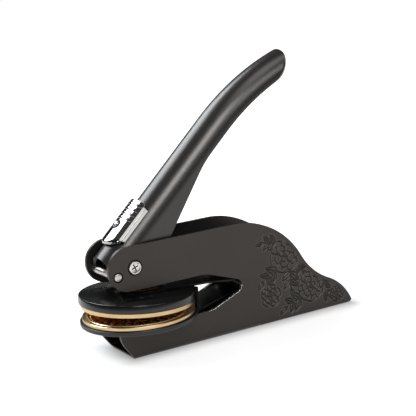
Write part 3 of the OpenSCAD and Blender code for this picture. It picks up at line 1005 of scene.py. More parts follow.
@dataclass
class Engraving:
    """Generic figure of round flowers and leafy sprigs, cut into the cheeks' rear field."""

    shop: Workshop
    palette: Palette
    outline: list[Point]
    step: float = 0.13
    depth: float = 0.26
    line: float = 0.23
    foot: float = 0.36
    flowers: tuple[tuple[float, float, float, int], ...] = (
        (66.2, 25.2, 6.6, 6), (77.4, 10.8, 6.0, 7), (58.8, 10.8, 4.4, 5), (89.6, 5.2, 3.2, 6),
    )
    sprigs: tuple[tuple[float, float, float, float, int], ...] = (
        (61.5, 20.0, 205, 9.5, 2), (68.6, 18.4, 262, 10.0, 2), (72.6, 19.8, -62, 5.0, 1),
        (72.2, 6.8, 192, 10.0, 2), (62.2, 30.8, 165, 8.0, 2), (83.6, 6.2, -30, 4.4, 1),
        (84.0, 10.2, 15, 4.6, 1),
    )

    def oval(self, x: float, z: float, way: float, long: float, wide: float) -> np.ndarray:
        """Outline of an oval petal.

        Args:
            x: Its middle, along.
            z: Its middle, up.
            way: Direction of its long half, in radians.
            long: Half its length along that direction.
            wide: Half its width.

        Returns:
            Points on the outline.
        """
        t = np.linspace(0, 2 * np.pi, max(int(long * 60), 24), endpoint=False)
        u, v = long * np.cos(t), wide * np.sin(t) * (1 + 0.22 * np.cos(t))
        return np.stack([x + u * math.cos(way) - v * math.sin(way),
                         z + u * math.sin(way) + v * math.cos(way)], -1)

    def flower(self, x: float, z: float, radius: float, petals: int) -> np.ndarray:
        """Lines of a flower whose inner petals overlap the outer ones."""
        lines: list[np.ndarray] = []
        covered: list[tuple[float, float, float, float, float]] = []
        rings = ((0.2, 0.16, 0.15, 3, 0.4), (0.44, 0.24, 0.26, petals - 1, 0.9),
                 (0.72, 0.28, 0.4, petals, 0.2))
        heart = np.array(arc((x, z), 0.1 * radius, 0, 300, 20))
        lines.append(heart)
        for share, long, wide, count, shift in rings:
            fresh = []
            for i in range(count):
                way = 2 * math.pi * i / count + shift
                at = (x + share * radius * math.cos(way), z + share * radius * math.sin(way))
                rim = self.oval(at[0], at[1], way, long * radius, wide * radius)
                vein = np.linspace(0.35, 0.95, 14)
                stroke = np.stack([at[0] + (vein - 0.5) * long * radius * math.cos(way + 0.25),
                                   at[1] + (vein - 0.5) * long * radius * math.sin(way + 0.25)], -1)
                shape = np.vstack([rim, stroke]) if share > 0.5 else rim
                lines.append(self.hidden(shape, covered + fresh))
                fresh.append((at[0], at[1], way, long * radius, wide * radius))
            covered += fresh
        return np.vstack(lines)

    def hidden(self, shape: np.ndarray, covered: Iterable[Sequence[float]]) -> np.ndarray:
        """The points of a line that no oval covers; an oval is (x, z, way, long, wide)."""
        for x, z, way, long, wide in covered:
            dx, dz = shape[:, 0] - x, shape[:, 1] - z
            u = dx * math.cos(way) + dz * math.sin(way)
            v = -dx * math.sin(way) + dz * math.cos(way)
            shape = shape[(u / long) ** 2 + (v / wide) ** 2 > 0.96]
        return shape

    def leaf(self, at: Sequence[float], way: float, length: float, width: float) -> np.ndarray:
        """Lines of a pointed leaf with its middle vein and two side veins."""
        t = np.linspace(0, 1, 60)
        side = np.sin(np.pi * t**0.85) * width / 2
        along = np.array([math.cos(way), math.sin(way)])
        across = np.array([-along[1], along[0]])
        middle = np.array(at) + np.outer(t * length, along)
        vein = np.array(at) + np.outer(np.linspace(0.0, 0.8, 40) * length, along)
        return np.vstack([middle + np.outer(side, across), middle - np.outer(side, across), vein])

    def sprigs_drawn(self) -> np.ndarray:
        """Lines of all sprigs: bent stems with pairs of leaves, behind the flowers."""
        covered = [(x, z, 0.0, r * 1.05, r * 1.05) for x, z, r, _ in self.flowers]
        lines = []
        for x, z, start, length, pairs in self.sprigs:
            at = np.array([x, z])
            hop = length / (pairs + 1)
            for i in range(pairs + 1):
                here = math.radians(start + 20.0 * i / pairs)
                size = hop * (1.5 - 0.3 * i / pairs)
                along = np.array([math.cos(here), math.sin(here)])
                for turn in (-0.85, 0.85) if i < pairs else (0.0,):
                    way = here + turn
                    lines.append(self.hidden(self.leaf(at, way, size, size * 0.44), covered))
                    middle = at + size / 2 * np.array([math.cos(way), math.sin(way)])
                    covered.append((middle[0], middle[1], way, size * 0.5, size * 0.22))
                if i < pairs:
                    stem = at + np.outer(np.linspace(0, hop, 24), along)
                    lines.append(self.hidden(stem, covered))
                at = at + hop * along
        return np.vstack(lines)

    def distances(self, grid: np.ndarray, lines: np.ndarray) -> np.ndarray:
        """Distance from each grid point to the nearest line point."""
        tree = KDTree(len(lines))
        for i, (x, z) in enumerate(lines):
            tree.insert((x, z, 0.0), i)
        tree.balance()
        return np.array([tree.find((x, z, 0.0))[2] for x, z in grid])

    def inside(self, grid: np.ndarray, outline: np.ndarray) -> np.ndarray:
        """Whether each grid point lies inside the outline."""
        hit = np.zeros(len(grid), bool)
        for a, b in zip(outline, np.roll(outline, -1, 0)):
            if a[1] == b[1]:
                continue
            spans = (a[1] > grid[:, 1]) != (b[1] > grid[:, 1])
            cross = a[0] + (grid[:, 1] - a[1]) * (b[0] - a[0]) / (b[1] - a[1])
            hit ^= spans & (grid[:, 0] < cross)
        return hit

    def dense(self, outline: np.ndarray) -> np.ndarray:
        """The outline with points close together."""
        parts = []
        for a, b in zip(outline, np.roll(outline, -1, 0)):
            count = max(int(np.linalg.norm(b - a) / 0.08), 1)
            parts.append(a + np.outer(np.arange(count) / count, b - a))
        return np.vstack(parts)

    def build_field(self) -> bpy.types.Object:
        """The engraved field on one cheek, as a thin closed skin."""
        outline = np.array(self.outline)
        low, high = outline.min(0) - 0.3, outline.max(0) + 0.3
        xs = np.arange(low[0], high[0], self.step)
        zs = np.arange(low[1], high[1], self.step)
        grid = np.stack(np.meshgrid(xs, zs, indexing="ij"), -1).reshape(-1, 2)
        lines = np.vstack([self.flower(*f) for f in self.flowers] + [self.sprigs_drawn()])
        edge = self.distances(grid, self.dense(outline))
        room = np.where(self.inside(grid, outline), edge, -edge)
        near = self.distances(grid, lines)
        cut = np.exp(-((near / self.line) ** 2)) * smoothstep(0.25, 0.8, room)
        beside = (near - 2.1 * self.line) / (0.8 * self.line)
        lip = np.exp(-(beside**2)) * smoothstep(0.4, 1.0, room)
        height = -0.02 + 0.02 * smoothstep(0.0, 0.15, room) - self.depth * cut + 0.05 * lip
        # The tone kept in the cut attribute: darker in the cuts as painted shade, paler on the lips
        # beside them as painted highlight.
        tone = cut - 0.35 * lip
        keep = (room > -0.16).reshape(len(xs), len(zs))
        mesh = bmesh.new()
        layer = mesh.verts.layers.float.new("cut")
        made: dict[tuple[int, int], bmesh.types.BMVert] = {}
        side = -FRAME_W / 2

        def corner(i: int, j: int) -> bmesh.types.BMVert:
            """The mesh corner at a grid place, made when first asked for."""
            if (i, j) not in made:
                k = i * len(zs) + j
                made[i, j] = mesh.verts.new((grid[k, 0], side - height[k], grid[k, 1]))
                made[i, j][layer] = float(tone[k])
            return made[i, j]

        whole = keep[:-1, :-1] & keep[1:, :-1] & keep[:-1, 1:] & keep[1:, 1:]
        for i, j in zip(*np.nonzero(whole)):
            i, j = int(i), int(j)
            mesh.faces.new(
                (corner(i, j), corner(i + 1, j), corner(i + 1, j + 1), corner(i, j + 1))
            )
        rim = [e for e in mesh.edges if e.is_boundary]
        wall = bmesh.ops.extrude_edge_only(mesh, edges=rim)["geom"]
        for v in wall:
            if isinstance(v, bmesh.types.BMVert):
                v.co.y = side + self.foot
        bmesh.ops.holes_fill(mesh, edges=[e for e in mesh.edges if e.is_boundary], sides=0)
        bmesh.ops.recalc_face_normals(mesh, faces=mesh.faces)
        data = bpy.data.meshes.new("engraved_field")
        mesh.to_mesh(data)
        mesh.free()
        return linked("engraved_field", data)

    def build(self) -> None:
        """The field on both cheeks."""
        near = self.build_field()
        far = linked("engraved_field_far", near.data.copy())
        far.data.transform(Matrix.Scale(-1, 4, (0, 1, 0)))
        far.data.flip_normals()
        for obj in (near, far):
            self.shop.finish(obj, Body.FRAME, self.palette.engraved, "frame_paint", smooth=75)


# ------------------------------------------------------------------ pivot


@dataclass
class PivotSet:
    """The cross post, its screw, the stop pin, washers, spacer and return spring."""

    shop: Workshop
    palette: Palette
    post_r: float = 2.0
    head_r: float = 2.45
    head_h: float = 0.8
    seat: float = FRAME_W / 2 - SUNK
    stop_r: float = 1.5
    wire_r: float = 0.4
    coil_r: float = 3.75
    coil_turns: int = 6
    coil_pitch: float = 1.3
    leg_up: float = 52.5
    leg_down: float = 252.0
    leg_up_l: float = 14.0
    leg_down_l: float = 6.5

    def across(self, at: Point) -> Matrix:
        """Places a part drawn along z across the object, at a side point."""
        return Matrix.Translation((at[0], 0, at[1])) @ CROSSWISE

    def headed(self, start: float, face: list[Point]) -> Shape:
        """A shank from a start along the axis, with a head whose face is given from its top."""
        top, under = self.seat + self.head_h, self.seat - 0.3
        profile = [
            (0, start), (self.post_r, start), (self.post_r, under), (self.head_r, under),
            (self.head_r, top - 0.45), (self.head_r - 0.12, top - 0.2),
        ]
        return lathe(profile + [(radius, top - deep) for radius, deep in face], 64)

    def build_post(self) -> None:
        """The post with its plain far head."""
        face = [(self.head_r - 0.4, 0), (self.head_r - 0.75, 0.06), (1.1, 0.3), (0, 0.35)]
        shape = self.headed(-1.0, face).moved(self.across(PIVOT))
        self.shop.piece(
            "pivot_post_piece", shape, Body.FRAME, self.palette.pivot, "pivot_steel", ["pivot_post"]
        )

    def build_screw(self) -> None:
        """The screw's head with its driver cross, and the shank in the post."""
        top = self.seat + self.head_h
        face = [(self.head_r - 0.25, 0), (self.head_r - 0.5, 0), (self.head_r - 0.7, 0.4),
                (1.0, 0.55), (0, 0.6)]
        obj = self.shop.object_of("pivot_screw_piece", self.headed(1.0, face))
        slots = Shape()
        for turn in (20, 110):
            arm = block((-1.35, -0.25, top - 1.0), (1.35, 0.25, top + 0.5))
            slots = slots + arm.moved(Matrix.Rotation(math.radians(turn), 4, "Z"))
        self.shop.cut(obj, slots, crossed=True)
        obj.data.transform(
            Matrix.Translation((PIVOT[0], 0, PIVOT[1])) @ Matrix.Rotation(math.radians(90), 4, "X")
        )
        self.shop.finish(
            obj, Body.FRAME, self.palette.pivot, "pivot_steel", ["pivot_screw"], smooth=35
        )

    def build_stop(self) -> None:
        """The stop pin, with slightly domed ends."""
        end = FRAME_W / 2 + 0.1
        dome, groove = self.stop_r - 0.14, self.stop_r - 0.12
        half = [(0, end), (self.stop_r - 0.3, end), (dome, end - 0.1), (dome, end - 0.5),
                (self.stop_r, end - 0.5), (self.stop_r, 0.9), (groove, 0.75)]
        profile = half + [(r, -h) for r, h in reversed(half)]
        self.shop.piece(
            "stop_pin_piece", lathe(profile, 64).moved(self.across(STOP)),
            Body.FRAME, self.palette.stop, "pivot_steel", ["stop_pin"],
        )

    def build_head_shadows(self) -> None:
        """Near-black rings at the bottom of the sunk rings round the heads: painted shadow."""
        low, high = self.seat - 0.02, self.seat + 0.1
        for name, at, inner in (
            ("head_shadow_rings", PIVOT, self.post_r + 0.02), ("stop_shadow_rings", STOP, self.stop_r - 0.1)
        ):
            outer = SUNK_R[at] - 0.02
            profile = [(inner, low), (outer, low), (outer, high), (inner, high)]
            ring = lathe(profile, 64).moved(self.across(at))
            self.shop.piece(
                name, ring + ring.mirrored(), Body.FRAME, self.palette.gap, "pivot_steel"
            )

    def build_inner(self) -> None:
        """Washers and spacer on the post."""
        washer = chamfered(4, 7.83, INNER_HALF - 0.03, 0.1, 2.03)
        shape = lathe(washer, 64).moved(self.across(PIVOT))
        self.shop.piece(
            "washers", shape + shape.mirrored(), Body.FRAME, self.palette.steel, "inner_steel",
            ["pivot_washers"],
        )
        spacer = chamfered(2.9, -6.2, 6.2, 0.2, 2.03)
        self.shop.piece(
            "spacer", lathe(spacer, 64).moved(self.across(PIVOT)), Body.FRAME,
            self.palette.steel, "inner_steel", ["pivot_spacer"],
        )

    def on_coil(self, degrees: float, y: float) -> Vector:
        """A point of the wire's middle line in the coil."""
        a = math.radians(degrees)
        x, z = (self.coil_r * turn(a) for turn in (math.cos, math.sin))
        return Vector((PIVOT[0] + x, y, PIVOT[1] + z))

    def build_spring(self) -> None:
        """The wound return spring with its two legs."""
        half = self.coil_turns * self.coil_pitch / 2
        first = self.leg_up + 90
        sweep = 360 * self.coil_turns + self.leg_down - 90 - first
        steps = 28 * self.coil_turns
        up, down = math.radians(self.leg_up), math.radians(self.leg_down)
        start, end = self.on_coil(first, half), self.on_coil(first + sweep, -half)
        out_up = Vector((math.cos(up), 0, math.sin(up)))
        out_down = Vector((math.cos(down), 0, math.sin(down)))
        path = [start + i / 4 * self.leg_up_l * out_up for i in range(4, 0, -1)]
        path += [
            self.on_coil(first + sweep * i / steps, half - 2 * half * i / steps)
            for i in range(steps + 1)
        ]
        path += [end + i / 3 * self.leg_down_l * out_down for i in range(1, 4)]
        obj = self.shop.object_of("return_spring_wire", tube(path, self.wire_r, 10))
        middle = Vector((PIVOT[0], 0, PIVOT[1]))
        clear = self.coil_r + self.wire_r
        bend = Bend(Body.LEVER, middle + clear * out_up, middle + (clear + 3) * out_up)
        self.shop.finish(
            obj, Body.FRAME, self.palette.wire, "inner_steel", ["return_spring"], 60, bend
        )

    def build(self) -> None:
        """Every piece on the two cross axes."""
        self.build_post()
        self.build_screw()
        self.build_stop()
        self.build_head_shadows()
        self.build_inner()
        self.build_spring()


# ------------------------------------------------------------------ dies


@dataclass
class DieSet:
    """The two round dies with rims and faces, and the clip that holds them."""

    shop: Workshop
    palette: Palette
    repeats: Repeats
    plate_r: float = 21.5
    rim_r: float = 20.65
    face_r: float = 18.5
    lower_plate: Point = (11.5, 13.1)
    lower_rim: Point = (13.1, 14.7)
    upper_rim: Point = (15.04, 16.79)
    upper_plate: Point = (16.79, 19.84)
    clip_half: float = 7.3
    clip_t: float = 0.8

    def placed(self, shape: Shape, upper: bool) -> Shape:
        """Moves a shape drawn about z to the dies' centre, and the upper ones to their slope."""
        shape = shape.moved(Matrix.Translation((DIE_X, 0, 0)))
        return shape.moved(SWUNG_OPEN) if upper else shape

    def build_round(
        self,
        name: str,
        profile: list[Point],
        upper: bool,
        look: tuple[bpy.types.Material, str],
        nodes: Sequence[str] = (),
        steps: int = 160,
    ) -> None:
        """A turned piece of one die.

        Args:
            name: Its name.
            profile: Its profile (radius, height).
            upper: Whether it belongs to the upper die.
            look: Its material and material slot.
            nodes: CAD nodes that it stands for.
            steps: Number of stretches round the axis.
        """
        body = Body.UPPER_DIE if upper else Body.FRAME
        shape = self.placed(lathe(profile, steps), upper)
        self.shop.piece(name, shape, body, *look, nodes, smooth=30)

    def build_plates(self) -> None:
        """The two black holder plates, the upper one with its guide ears."""
        low, high = self.upper_plate
        disc = [(0, high), (0, low), (self.plate_r - 0.25, low), (self.plate_r, low + 0.25),
                (self.plate_r, high - 0.6), (self.plate_r - 0.2, high - 0.15),
                (self.plate_r - 0.5, high)]
        look = (self.palette.disc, "die_black")
        self.build_round("upper_plate", disc, True, look, ["upper_die_plate"])
        ear = block((27.0, 7.6, 9.25), (27.9, 9.22, high))
        ears = (ear + ear.mirrored()).moved(SWUNG_OPEN)
        # The ears take the near-black shadow finish: a black tab, made darker as painted shade.
        self.shop.piece(
            "guide_ears", ears, Body.UPPER_DIE, self.palette.gap, "die_black", edge=0.2
        )
        low, high = self.lower_plate
        disc = lathe(chamfered(self.plate_r, low, high, 0.2), 160)
        obj = self.shop.object_of("lower_plate", self.placed(disc, False))
        slot = block((26.5, 7.3, low - 1), (31, 14, high + 1))
        self.shop.cut(obj, slot + slot.mirrored())
        self.shop.finish(
            obj, Body.FRAME, self.palette.anvil, "die_black", ["lower_die_plate"], smooth=30
        )

    def build_rims(self) -> None:
        """The brass rims; the lower one's inner lip is near white, a painted highlight."""
        bore, flank = self.face_r + 0.03, self.rim_r - 0.2
        brass = (self.palette.rim, "rim_gold")
        low, high = self.upper_rim
        upper = [(bore, high), (bore, low + 0.3), (bore + 0.3, low), (flank, low),
                 (self.rim_r, low + 0.2), (self.rim_r, high - 0.25), (flank, high - 0.05),
                 (flank, high)]
        self.build_round("upper_rim", upper, True, brass, ["upper_die_rim"])
        low, high = self.lower_rim
        lip = [(bore, low), (bore + 0.69, low), (bore + 0.69, high - 0.2),
               (bore + 0.52, high - 0.02), (bore + 0.4, high), (bore + 0.12, high),
               (bore, high - 0.12)]
        self.build_round("lower_rim_lip", lip, False, (self.palette.lip, "rim_gold"))
        lower = [(bore + 0.7, low), (flank, low), (flank, low + 0.05), (self.rim_r, low + 0.25),
                 (self.rim_r, high - 0.4), (flank, high - 0.2), (bore + 0.9, high - 0.2),
                 (bore + 0.86, high - 0.6), (bore + 0.7, high - 0.6)]
        self.build_round("lower_rim", lower, False, brass, ["lower_die_rim"])

    def petal(self, length: float, width: float, height: float) -> Shape:
        """One raised petal along x, domed, on z = 0."""
        rings = []
        for i in range(9):
            t = i / 8
            half = max(width / 2 * math.sin(math.pi * (0.04 + 0.92 * t)) ** 0.8, 0.05)
            x = (t - 0.5) * length
            top = height * math.sin(math.pi * (0.08 + 0.84 * t)) ** 0.5
            ring = [Vector((x, half * math.cos(a), top * math.sin(a)))
                    for a in (math.pi * k / 8 for k in range(9))]
            rings.append(ring)
        return loft(rings)

    def build_face(self, name: str, node: str, level: float, upper: bool) -> None:
        """One engraved face: ground disc, two rings of petals, beads and a boss.

        Args:
            name: Stem of the pieces' names.
            node: The CAD node that the ground replaces.
            level: Height of the ground.
            upper: Whether it belongs to the upper die, and faces down.
        """
        body = Body.UPPER_DIE if upper else Body.FRAME
        sign = -1 if upper else 1
        back = level - sign * 0.9
        low, high = min(level, back), max(level, back)
        edge = self.face_r - 0.05
        ground = [(0, high), (0, low), (edge, low), (edge, high)]
        look = (self.palette.ground, "face_gold")
        self.build_round(name + "_ground", ground, upper, look, [node], 128)
        flip = Matrix.Translation((DIE_X, 0, level)) @ Matrix.Scale(sign, 4, (0, 0, 1))
        place = (SWUNG_OPEN if upper else Matrix.Identity(4)) @ flip
        boss = lathe([(0, 0.42), (0, -0.1), (6.6, -0.1), (6.6, 0.3), (6.3, 0.42), (5.9, 0.42),
                      (5.7, 0.2), (3.6, 0.2), (3.2, 0.34), (1.8, 0.42)], 64)
        parts = (
            ("_petals", self.petal(3.9, 2.3, 0.55), 30, 14.2, 60),
            ("_inner_petals", self.petal(4.0, 2.4, 0.5), 16, 9.6, 60),
            ("_beads", self.petal(1.5, 1.25, 0.5), 60, 17.2, 60),
            ("_boss", boss, 1, 0.0, 40),
        )
        for tail, shape, count, radius, smooth in parts:
            obj = self.shop.object_of(name + tail, shape)
            if count > 1:
                self.repeats.ring(obj, count, radius, self.palette.figure)
            obj.data.transform(place)
            if upper:
                obj.data.flip_normals()
            self.shop.finish(obj, body, self.palette.figure, "face_gold", smooth=smooth)

    def clip_line(self) -> list[Point]:
        """Middle line of the clip: lower leg, rise, rear bend and upper leg."""
        low, high = 10.65 + self.clip_t / 2, 19.86 + self.clip_t / 2
        bend, radius = (DIE_HINGE[0] - 0.3, DIE_HINGE[1] - 0.2), 2.3
        front = turned((-2, high), DIE_HINGE, -DIE_OPEN)
        back = turned((31, high), DIE_HINGE, -DIE_OPEN)
        slope = math.radians(DIE_OPEN)
        rise = (self.plate_r + DIE_X + 0.2, low)
        under, top = (bend[0], bend[1] - radius), (bend[0], bend[1] + radius)
        upper = bezier(
            back, (back[0] + 6 * math.cos(slope), back[1] - 6 * math.sin(slope)),
            (top[0] - 3.7, top[1] + 0.3), top, 24
        )
        lower = bezier(rise, (rise[0] + 1.6, rise[1] + 1.4), (under[0] - 5.2, under[1]), under, 24)
        flat = [(rise[0] * i / 12, low) for i in range(12)]
        rear = arc(bend, radius, -80, 80, 20)
        run = [(back[0] + (front[0] - back[0]) * i / 12, back[1] + (front[1] - back[1]) * i / 12)
               for i in range(1, 13)]
        return flat + lower + rear + upper[::-1] + run

    def build_clip(self) -> None:
        """The spring-steel strip with its rear bend, between the frame and the upper die."""
        line = self.clip_line()
        rings = []
        half, thick = self.clip_half, self.clip_t / 2
        for i, at in enumerate(line):
            a, b = line[max(i - 1, 0)], line[min(i + 1, len(line) - 1)]
            along = Vector((b[0] - a[0], 0, b[1] - a[1])).normalized()
            off = Vector((-along.z, 0, along.x)) * thick
            middle = Vector((at[0], 0, at[1]))
            corners = ((-half, 1), (half, 1), (half, -1), (-half, -1))
            rings.append([middle + off * k + Vector((0, y, 0)) for y, k in corners])
        obj = self.shop.object_of("die_clip", loft(rings))
        self.shop.edged(obj, 0.12, 60, 2)
        start, end = (Vector((DIE_HINGE[0], 0, z)) for z in (14.9, 19.1))
        self.shop.finish(
            obj, Body.FRAME, self.palette.clip, "clip_black", ["clip_spring"], 30,
            Bend(Body.UPPER_DIE, start, end),
        )

    def build_rivets(self) -> None:
        """Rivets of both clip legs, and the wear pad."""
        lower = lathe([(0, 9.95), (1.3, 9.95), (1.7, 10.4), (1.7, 10.65), (1.0, 10.65),
                       (1.0, 13.05), (0, 13.05)], 48)
        obj = self.shop.object_of("lower_rivet", lower)
        self.repeats.row(obj, 2, Vector((9, 0, 0)), self.palette.steel)
        obj.data.transform(Matrix.Translation((3, 0, 0)))
        self.shop.finish(
            obj, Body.FRAME, self.palette.steel, "rivet_steel", ["lower_rivets"], smooth=35
        )
        top = 20.68
        upper = lathe([(0, 16.84), (1.0, 16.84), (1.0, top), (1.7, top), (1.65, top + 0.18),
                       (1.3, top + 0.42), (0.6, top + 0.5), (0, top + 0.5)][::-1], 48)
        obj = self.shop.object_of("upper_rivet", upper)
        self.repeats.row(obj, 2, Vector((17.6, 0, 0)), self.palette.steel)
        obj.data.transform(SWUNG_OPEN @ Matrix.Translation((0.4, 0, 0)))
        self.shop.finish(
            obj, Body.UPPER_DIE, self.palette.steel, "rivet_steel", ["upper_rivets"], smooth=35
        )
        pad = block((3.6, -5.5, top), (13.0, 5.5, top + 0.6)).moved(SWUNG_OPEN)
        self.shop.piece(
            "wear_pad", pad, Body.UPPER_DIE, self.palette.pad, "inner_steel", ["press_pad"], 0.15
        )

    def build(self) -> None:
        """Every piece of the dies and their clip."""
        self.build_plates()
        self.build_rims()
        self.build_face("lower_face", "lower_die_face", 14.0, False)
        self.build_face("upper_face", "upper_die_face", 15.6, True)
        self.build_clip()
        self.build_rivets()


# ------------------------------------------------------------------ handle


@dataclass
class Handle:
    """The lever handle, folded from sheet with a round back, and its roller."""

    shop: Workshop
    palette: Palette
    back_n: float = BACK_N
    radius: float = BACK_R
    wall: float = 1.2
    straight: float = 60.3
    bend_r: float = 93.0
    bend_turn: float = 23.8
    edge_low: float = 0.3
    flare_s: float = 45.8
    flare_a: float = 13.8
    flare_bend: float = 40.0
    tip_long: float = 11.9
    tip_mid: float = 5.5
    tip_half: float = 10.2
    tip_up: float = 5.5
    tip_low: float = 9.0
    boss_r: float = 5.2
    roller: Point = (0.2, -9.8)
    lobe_r: float = 2.1
    front: tuple[Point, ...] = (
        (-4.2, 10.55), (-6.35, 4.95), (-4.15, 2.9), (-5.0, -1.4), (-1.85, -10.3), (0.2, -11.9),
    )

    def on_bend(self, turn: float, off: float) -> Point:
        """A point of the bent stretch, off the back's centre line."""
        a = math.radians(turn)
        reach = self.bend_r + off
        level = self.back_n - self.bend_r
        return self.straight + reach * math.sin(a), level + reach * math.cos(a)

    def front_at(self, n: float) -> float:
        """Where the front edge lies at a height over the pivot."""
        knots = sorted((p[1], p[0]) for p in self.front)
        s = float(np.interp(n, [k[0] for k in knots], [k[1] for k in knots]))
        if abs(n) < self.boss_r:
            s = min(s, -math.sqrt(self.boss_r**2 - n * n))
        drop = n - self.roller[1]
        if abs(drop) < self.lobe_r:
            s = min(s, self.roller[0] - math.sqrt(self.lobe_r**2 - drop * drop))
        return s

    def lower_line(self) -> list[Point]:
        """Lower edge of the side walls, from the lobe's foot to the bend, even steps."""
        level = self.back_n - self.edge_low
        middle = (
            self.flare_s + self.flare_bend * math.tan(math.radians(self.flare_a / 2)),
            level - self.flare_bend,
        )
        corners = arc(self.roller, self.lobe_r, -90, -22, 8) + [(3.4, -10.25), (12.0, -6.5)]
        corners += arc(middle, self.flare_bend, 90 + self.flare_a, 90, 12)
        corners += [(self.straight, level)]
        line = [corners[0]]
        for a, b in zip(corners, corners[1:]):
            length = math.hypot(b[0] - a[0], b[1] - a[1])
            count = max(round(length / 1.2), 1)
            for i in range(1, count + 1):
                t = i / count
                line.append((a[0] + (b[0] - a[0]) * t, a[1] + (b[1] - a[1]) * t))
        return line

    def rows(self) -> list[tuple[float, float]]:
        """Half section from crest to lower edge, as (angle on the back, share of the wall)."""
        back = [i * 3.0 for i in range(27)] + [80, 82, 84, 87, 90]
        return [(a, 0.0) for a in back] + [(90.0, i / 10) for i in range(1, 11)]

    def back_point(self, angle: float) -> Point:
        """Across and up, of a point on the round back."""
        a = math.radians(angle)
        return self.radius * math.sin(a), self.radius * math.cos(a)

    def tip_set_back(self, y: float, off: float) -> float:
        """How far the egg-shaped tip stands back from its foremost point."""
        rise = off - self.tip_mid
        share = (y / self.tip_half) ** 2 + (rise / (self.tip_up if rise > 0 else self.tip_low)) ** 2
        return self.tip_long * (1 - math.sqrt(max(1 - share, 0)))

    def column(self, spot: Callable[[float, float], Vector]) -> list[Vector]:
        """One line across the handle, from the near lower edge over the back to the far one."""
        half = [spot(angle, share) for angle, share in self.rows()]
        far = [Vector((c.x, -c.y, c.z)) for c in half]
        return half[::-1] + far[1:]

    def build_shell(self) -> bpy.types.Object:
        """The folded sheet, with rounded cut edges."""
        line = self.lower_line()
        foot = line[0]
        deepest = foot[1]
        columns = []
        for s_low, n_low in line:
            hold = 1 - float(smoothstep(0.0, 16.0, s_low - foot[0]))

            def spot(angle: float, share: float) -> Vector:
                """A point of this column."""
                y, off = self.back_point(angle)
                n_front = self.back_n + off + (deepest - self.back_n) * share
                s = s_low + hold * (self.front_at(n_front) - foot[0])
                return Vector((s, -y, self.back_n + off + (n_low - self.back_n) * share))

            columns.append(self.column(spot))
        for i in range(1, 37):

            def spot(angle: float, share: float) -> Vector:
                """A point of this column, on the bent stretch."""
                y, off = self.back_point(angle)
                off -= self.edge_low * share
                last = self.bend_turn - math.degrees(self.tip_set_back(y, off) / self.bend_r)
                s, n = self.on_bend(last * i / 36, off)
                return Vector((s, -y, n))

            columns.append(self.column(spot))
        for i in range(1, 19):
            scale = 1 - (i / 18) ** 1.15

            def spot(angle: float, share: float) -> Vector:
                """A point of this column, on the tip's end."""
                y, off = self.back_point(angle)
                low = -self.edge_low
                y, off = y * scale, low + (off - self.edge_low * share - low) * scale
                back = self.tip_set_back(y, off)
                s, n = self.on_bend(self.bend_turn - math.degrees(back / self.bend_r), off)
                return Vector((s, -y, n))

            columns.append(self.column(spot))
        obj = self.shop.object_of("handle_shell", loft(columns, closed=False, caps=False))
        if obj.data.polygons[0].normal.y >= 0:
            obj.data.flip_normals()
        wall = obj.modifiers.new("wall", "SOLIDIFY")
        wall.thickness, wall.offset, wall.use_even_offset = self.wall, -1, True
        self.shop.baked(obj)
        self.shop.edged(obj, 0.22, 60, 3)
        obj.data.transform(ON_HANDLE)
        return self.shop.finish(
            obj, Body.LEVER, self.palette.handle, "handle_grey", ["handle_lever"], smooth=50
        )

    def build_roller(self) -> None:
        """The roller between the walls, and its pin."""
        at = Matrix.Translation((self.roller[0], 0, self.roller[1])) @ CROSSWISE
        roller = lathe(chamfered(2.4, -6.35, 6.35, 0.3, 1.06), 64).moved(ON_HANDLE @ at)
        self.shop.piece(
            "roller", roller, Body.LEVER, self.palette.steel, "inner_steel", ["press_roller"]
        )
        pin = lathe(chamfered(1.0, -7.72, 7.72, 0.15), 48).moved(ON_HANDLE @ at)
        self.shop.piece(
            "roller_pin_piece", pin, Body.LEVER, self.palette.stop, "pivot_steel", ["roller_pin"]
        )

    def build(self) -> None:
        """Every piece that turns with the handle."""
        self.build_shell()
        self.build_roller()


# ------------------------------------------------------------------ lock slide


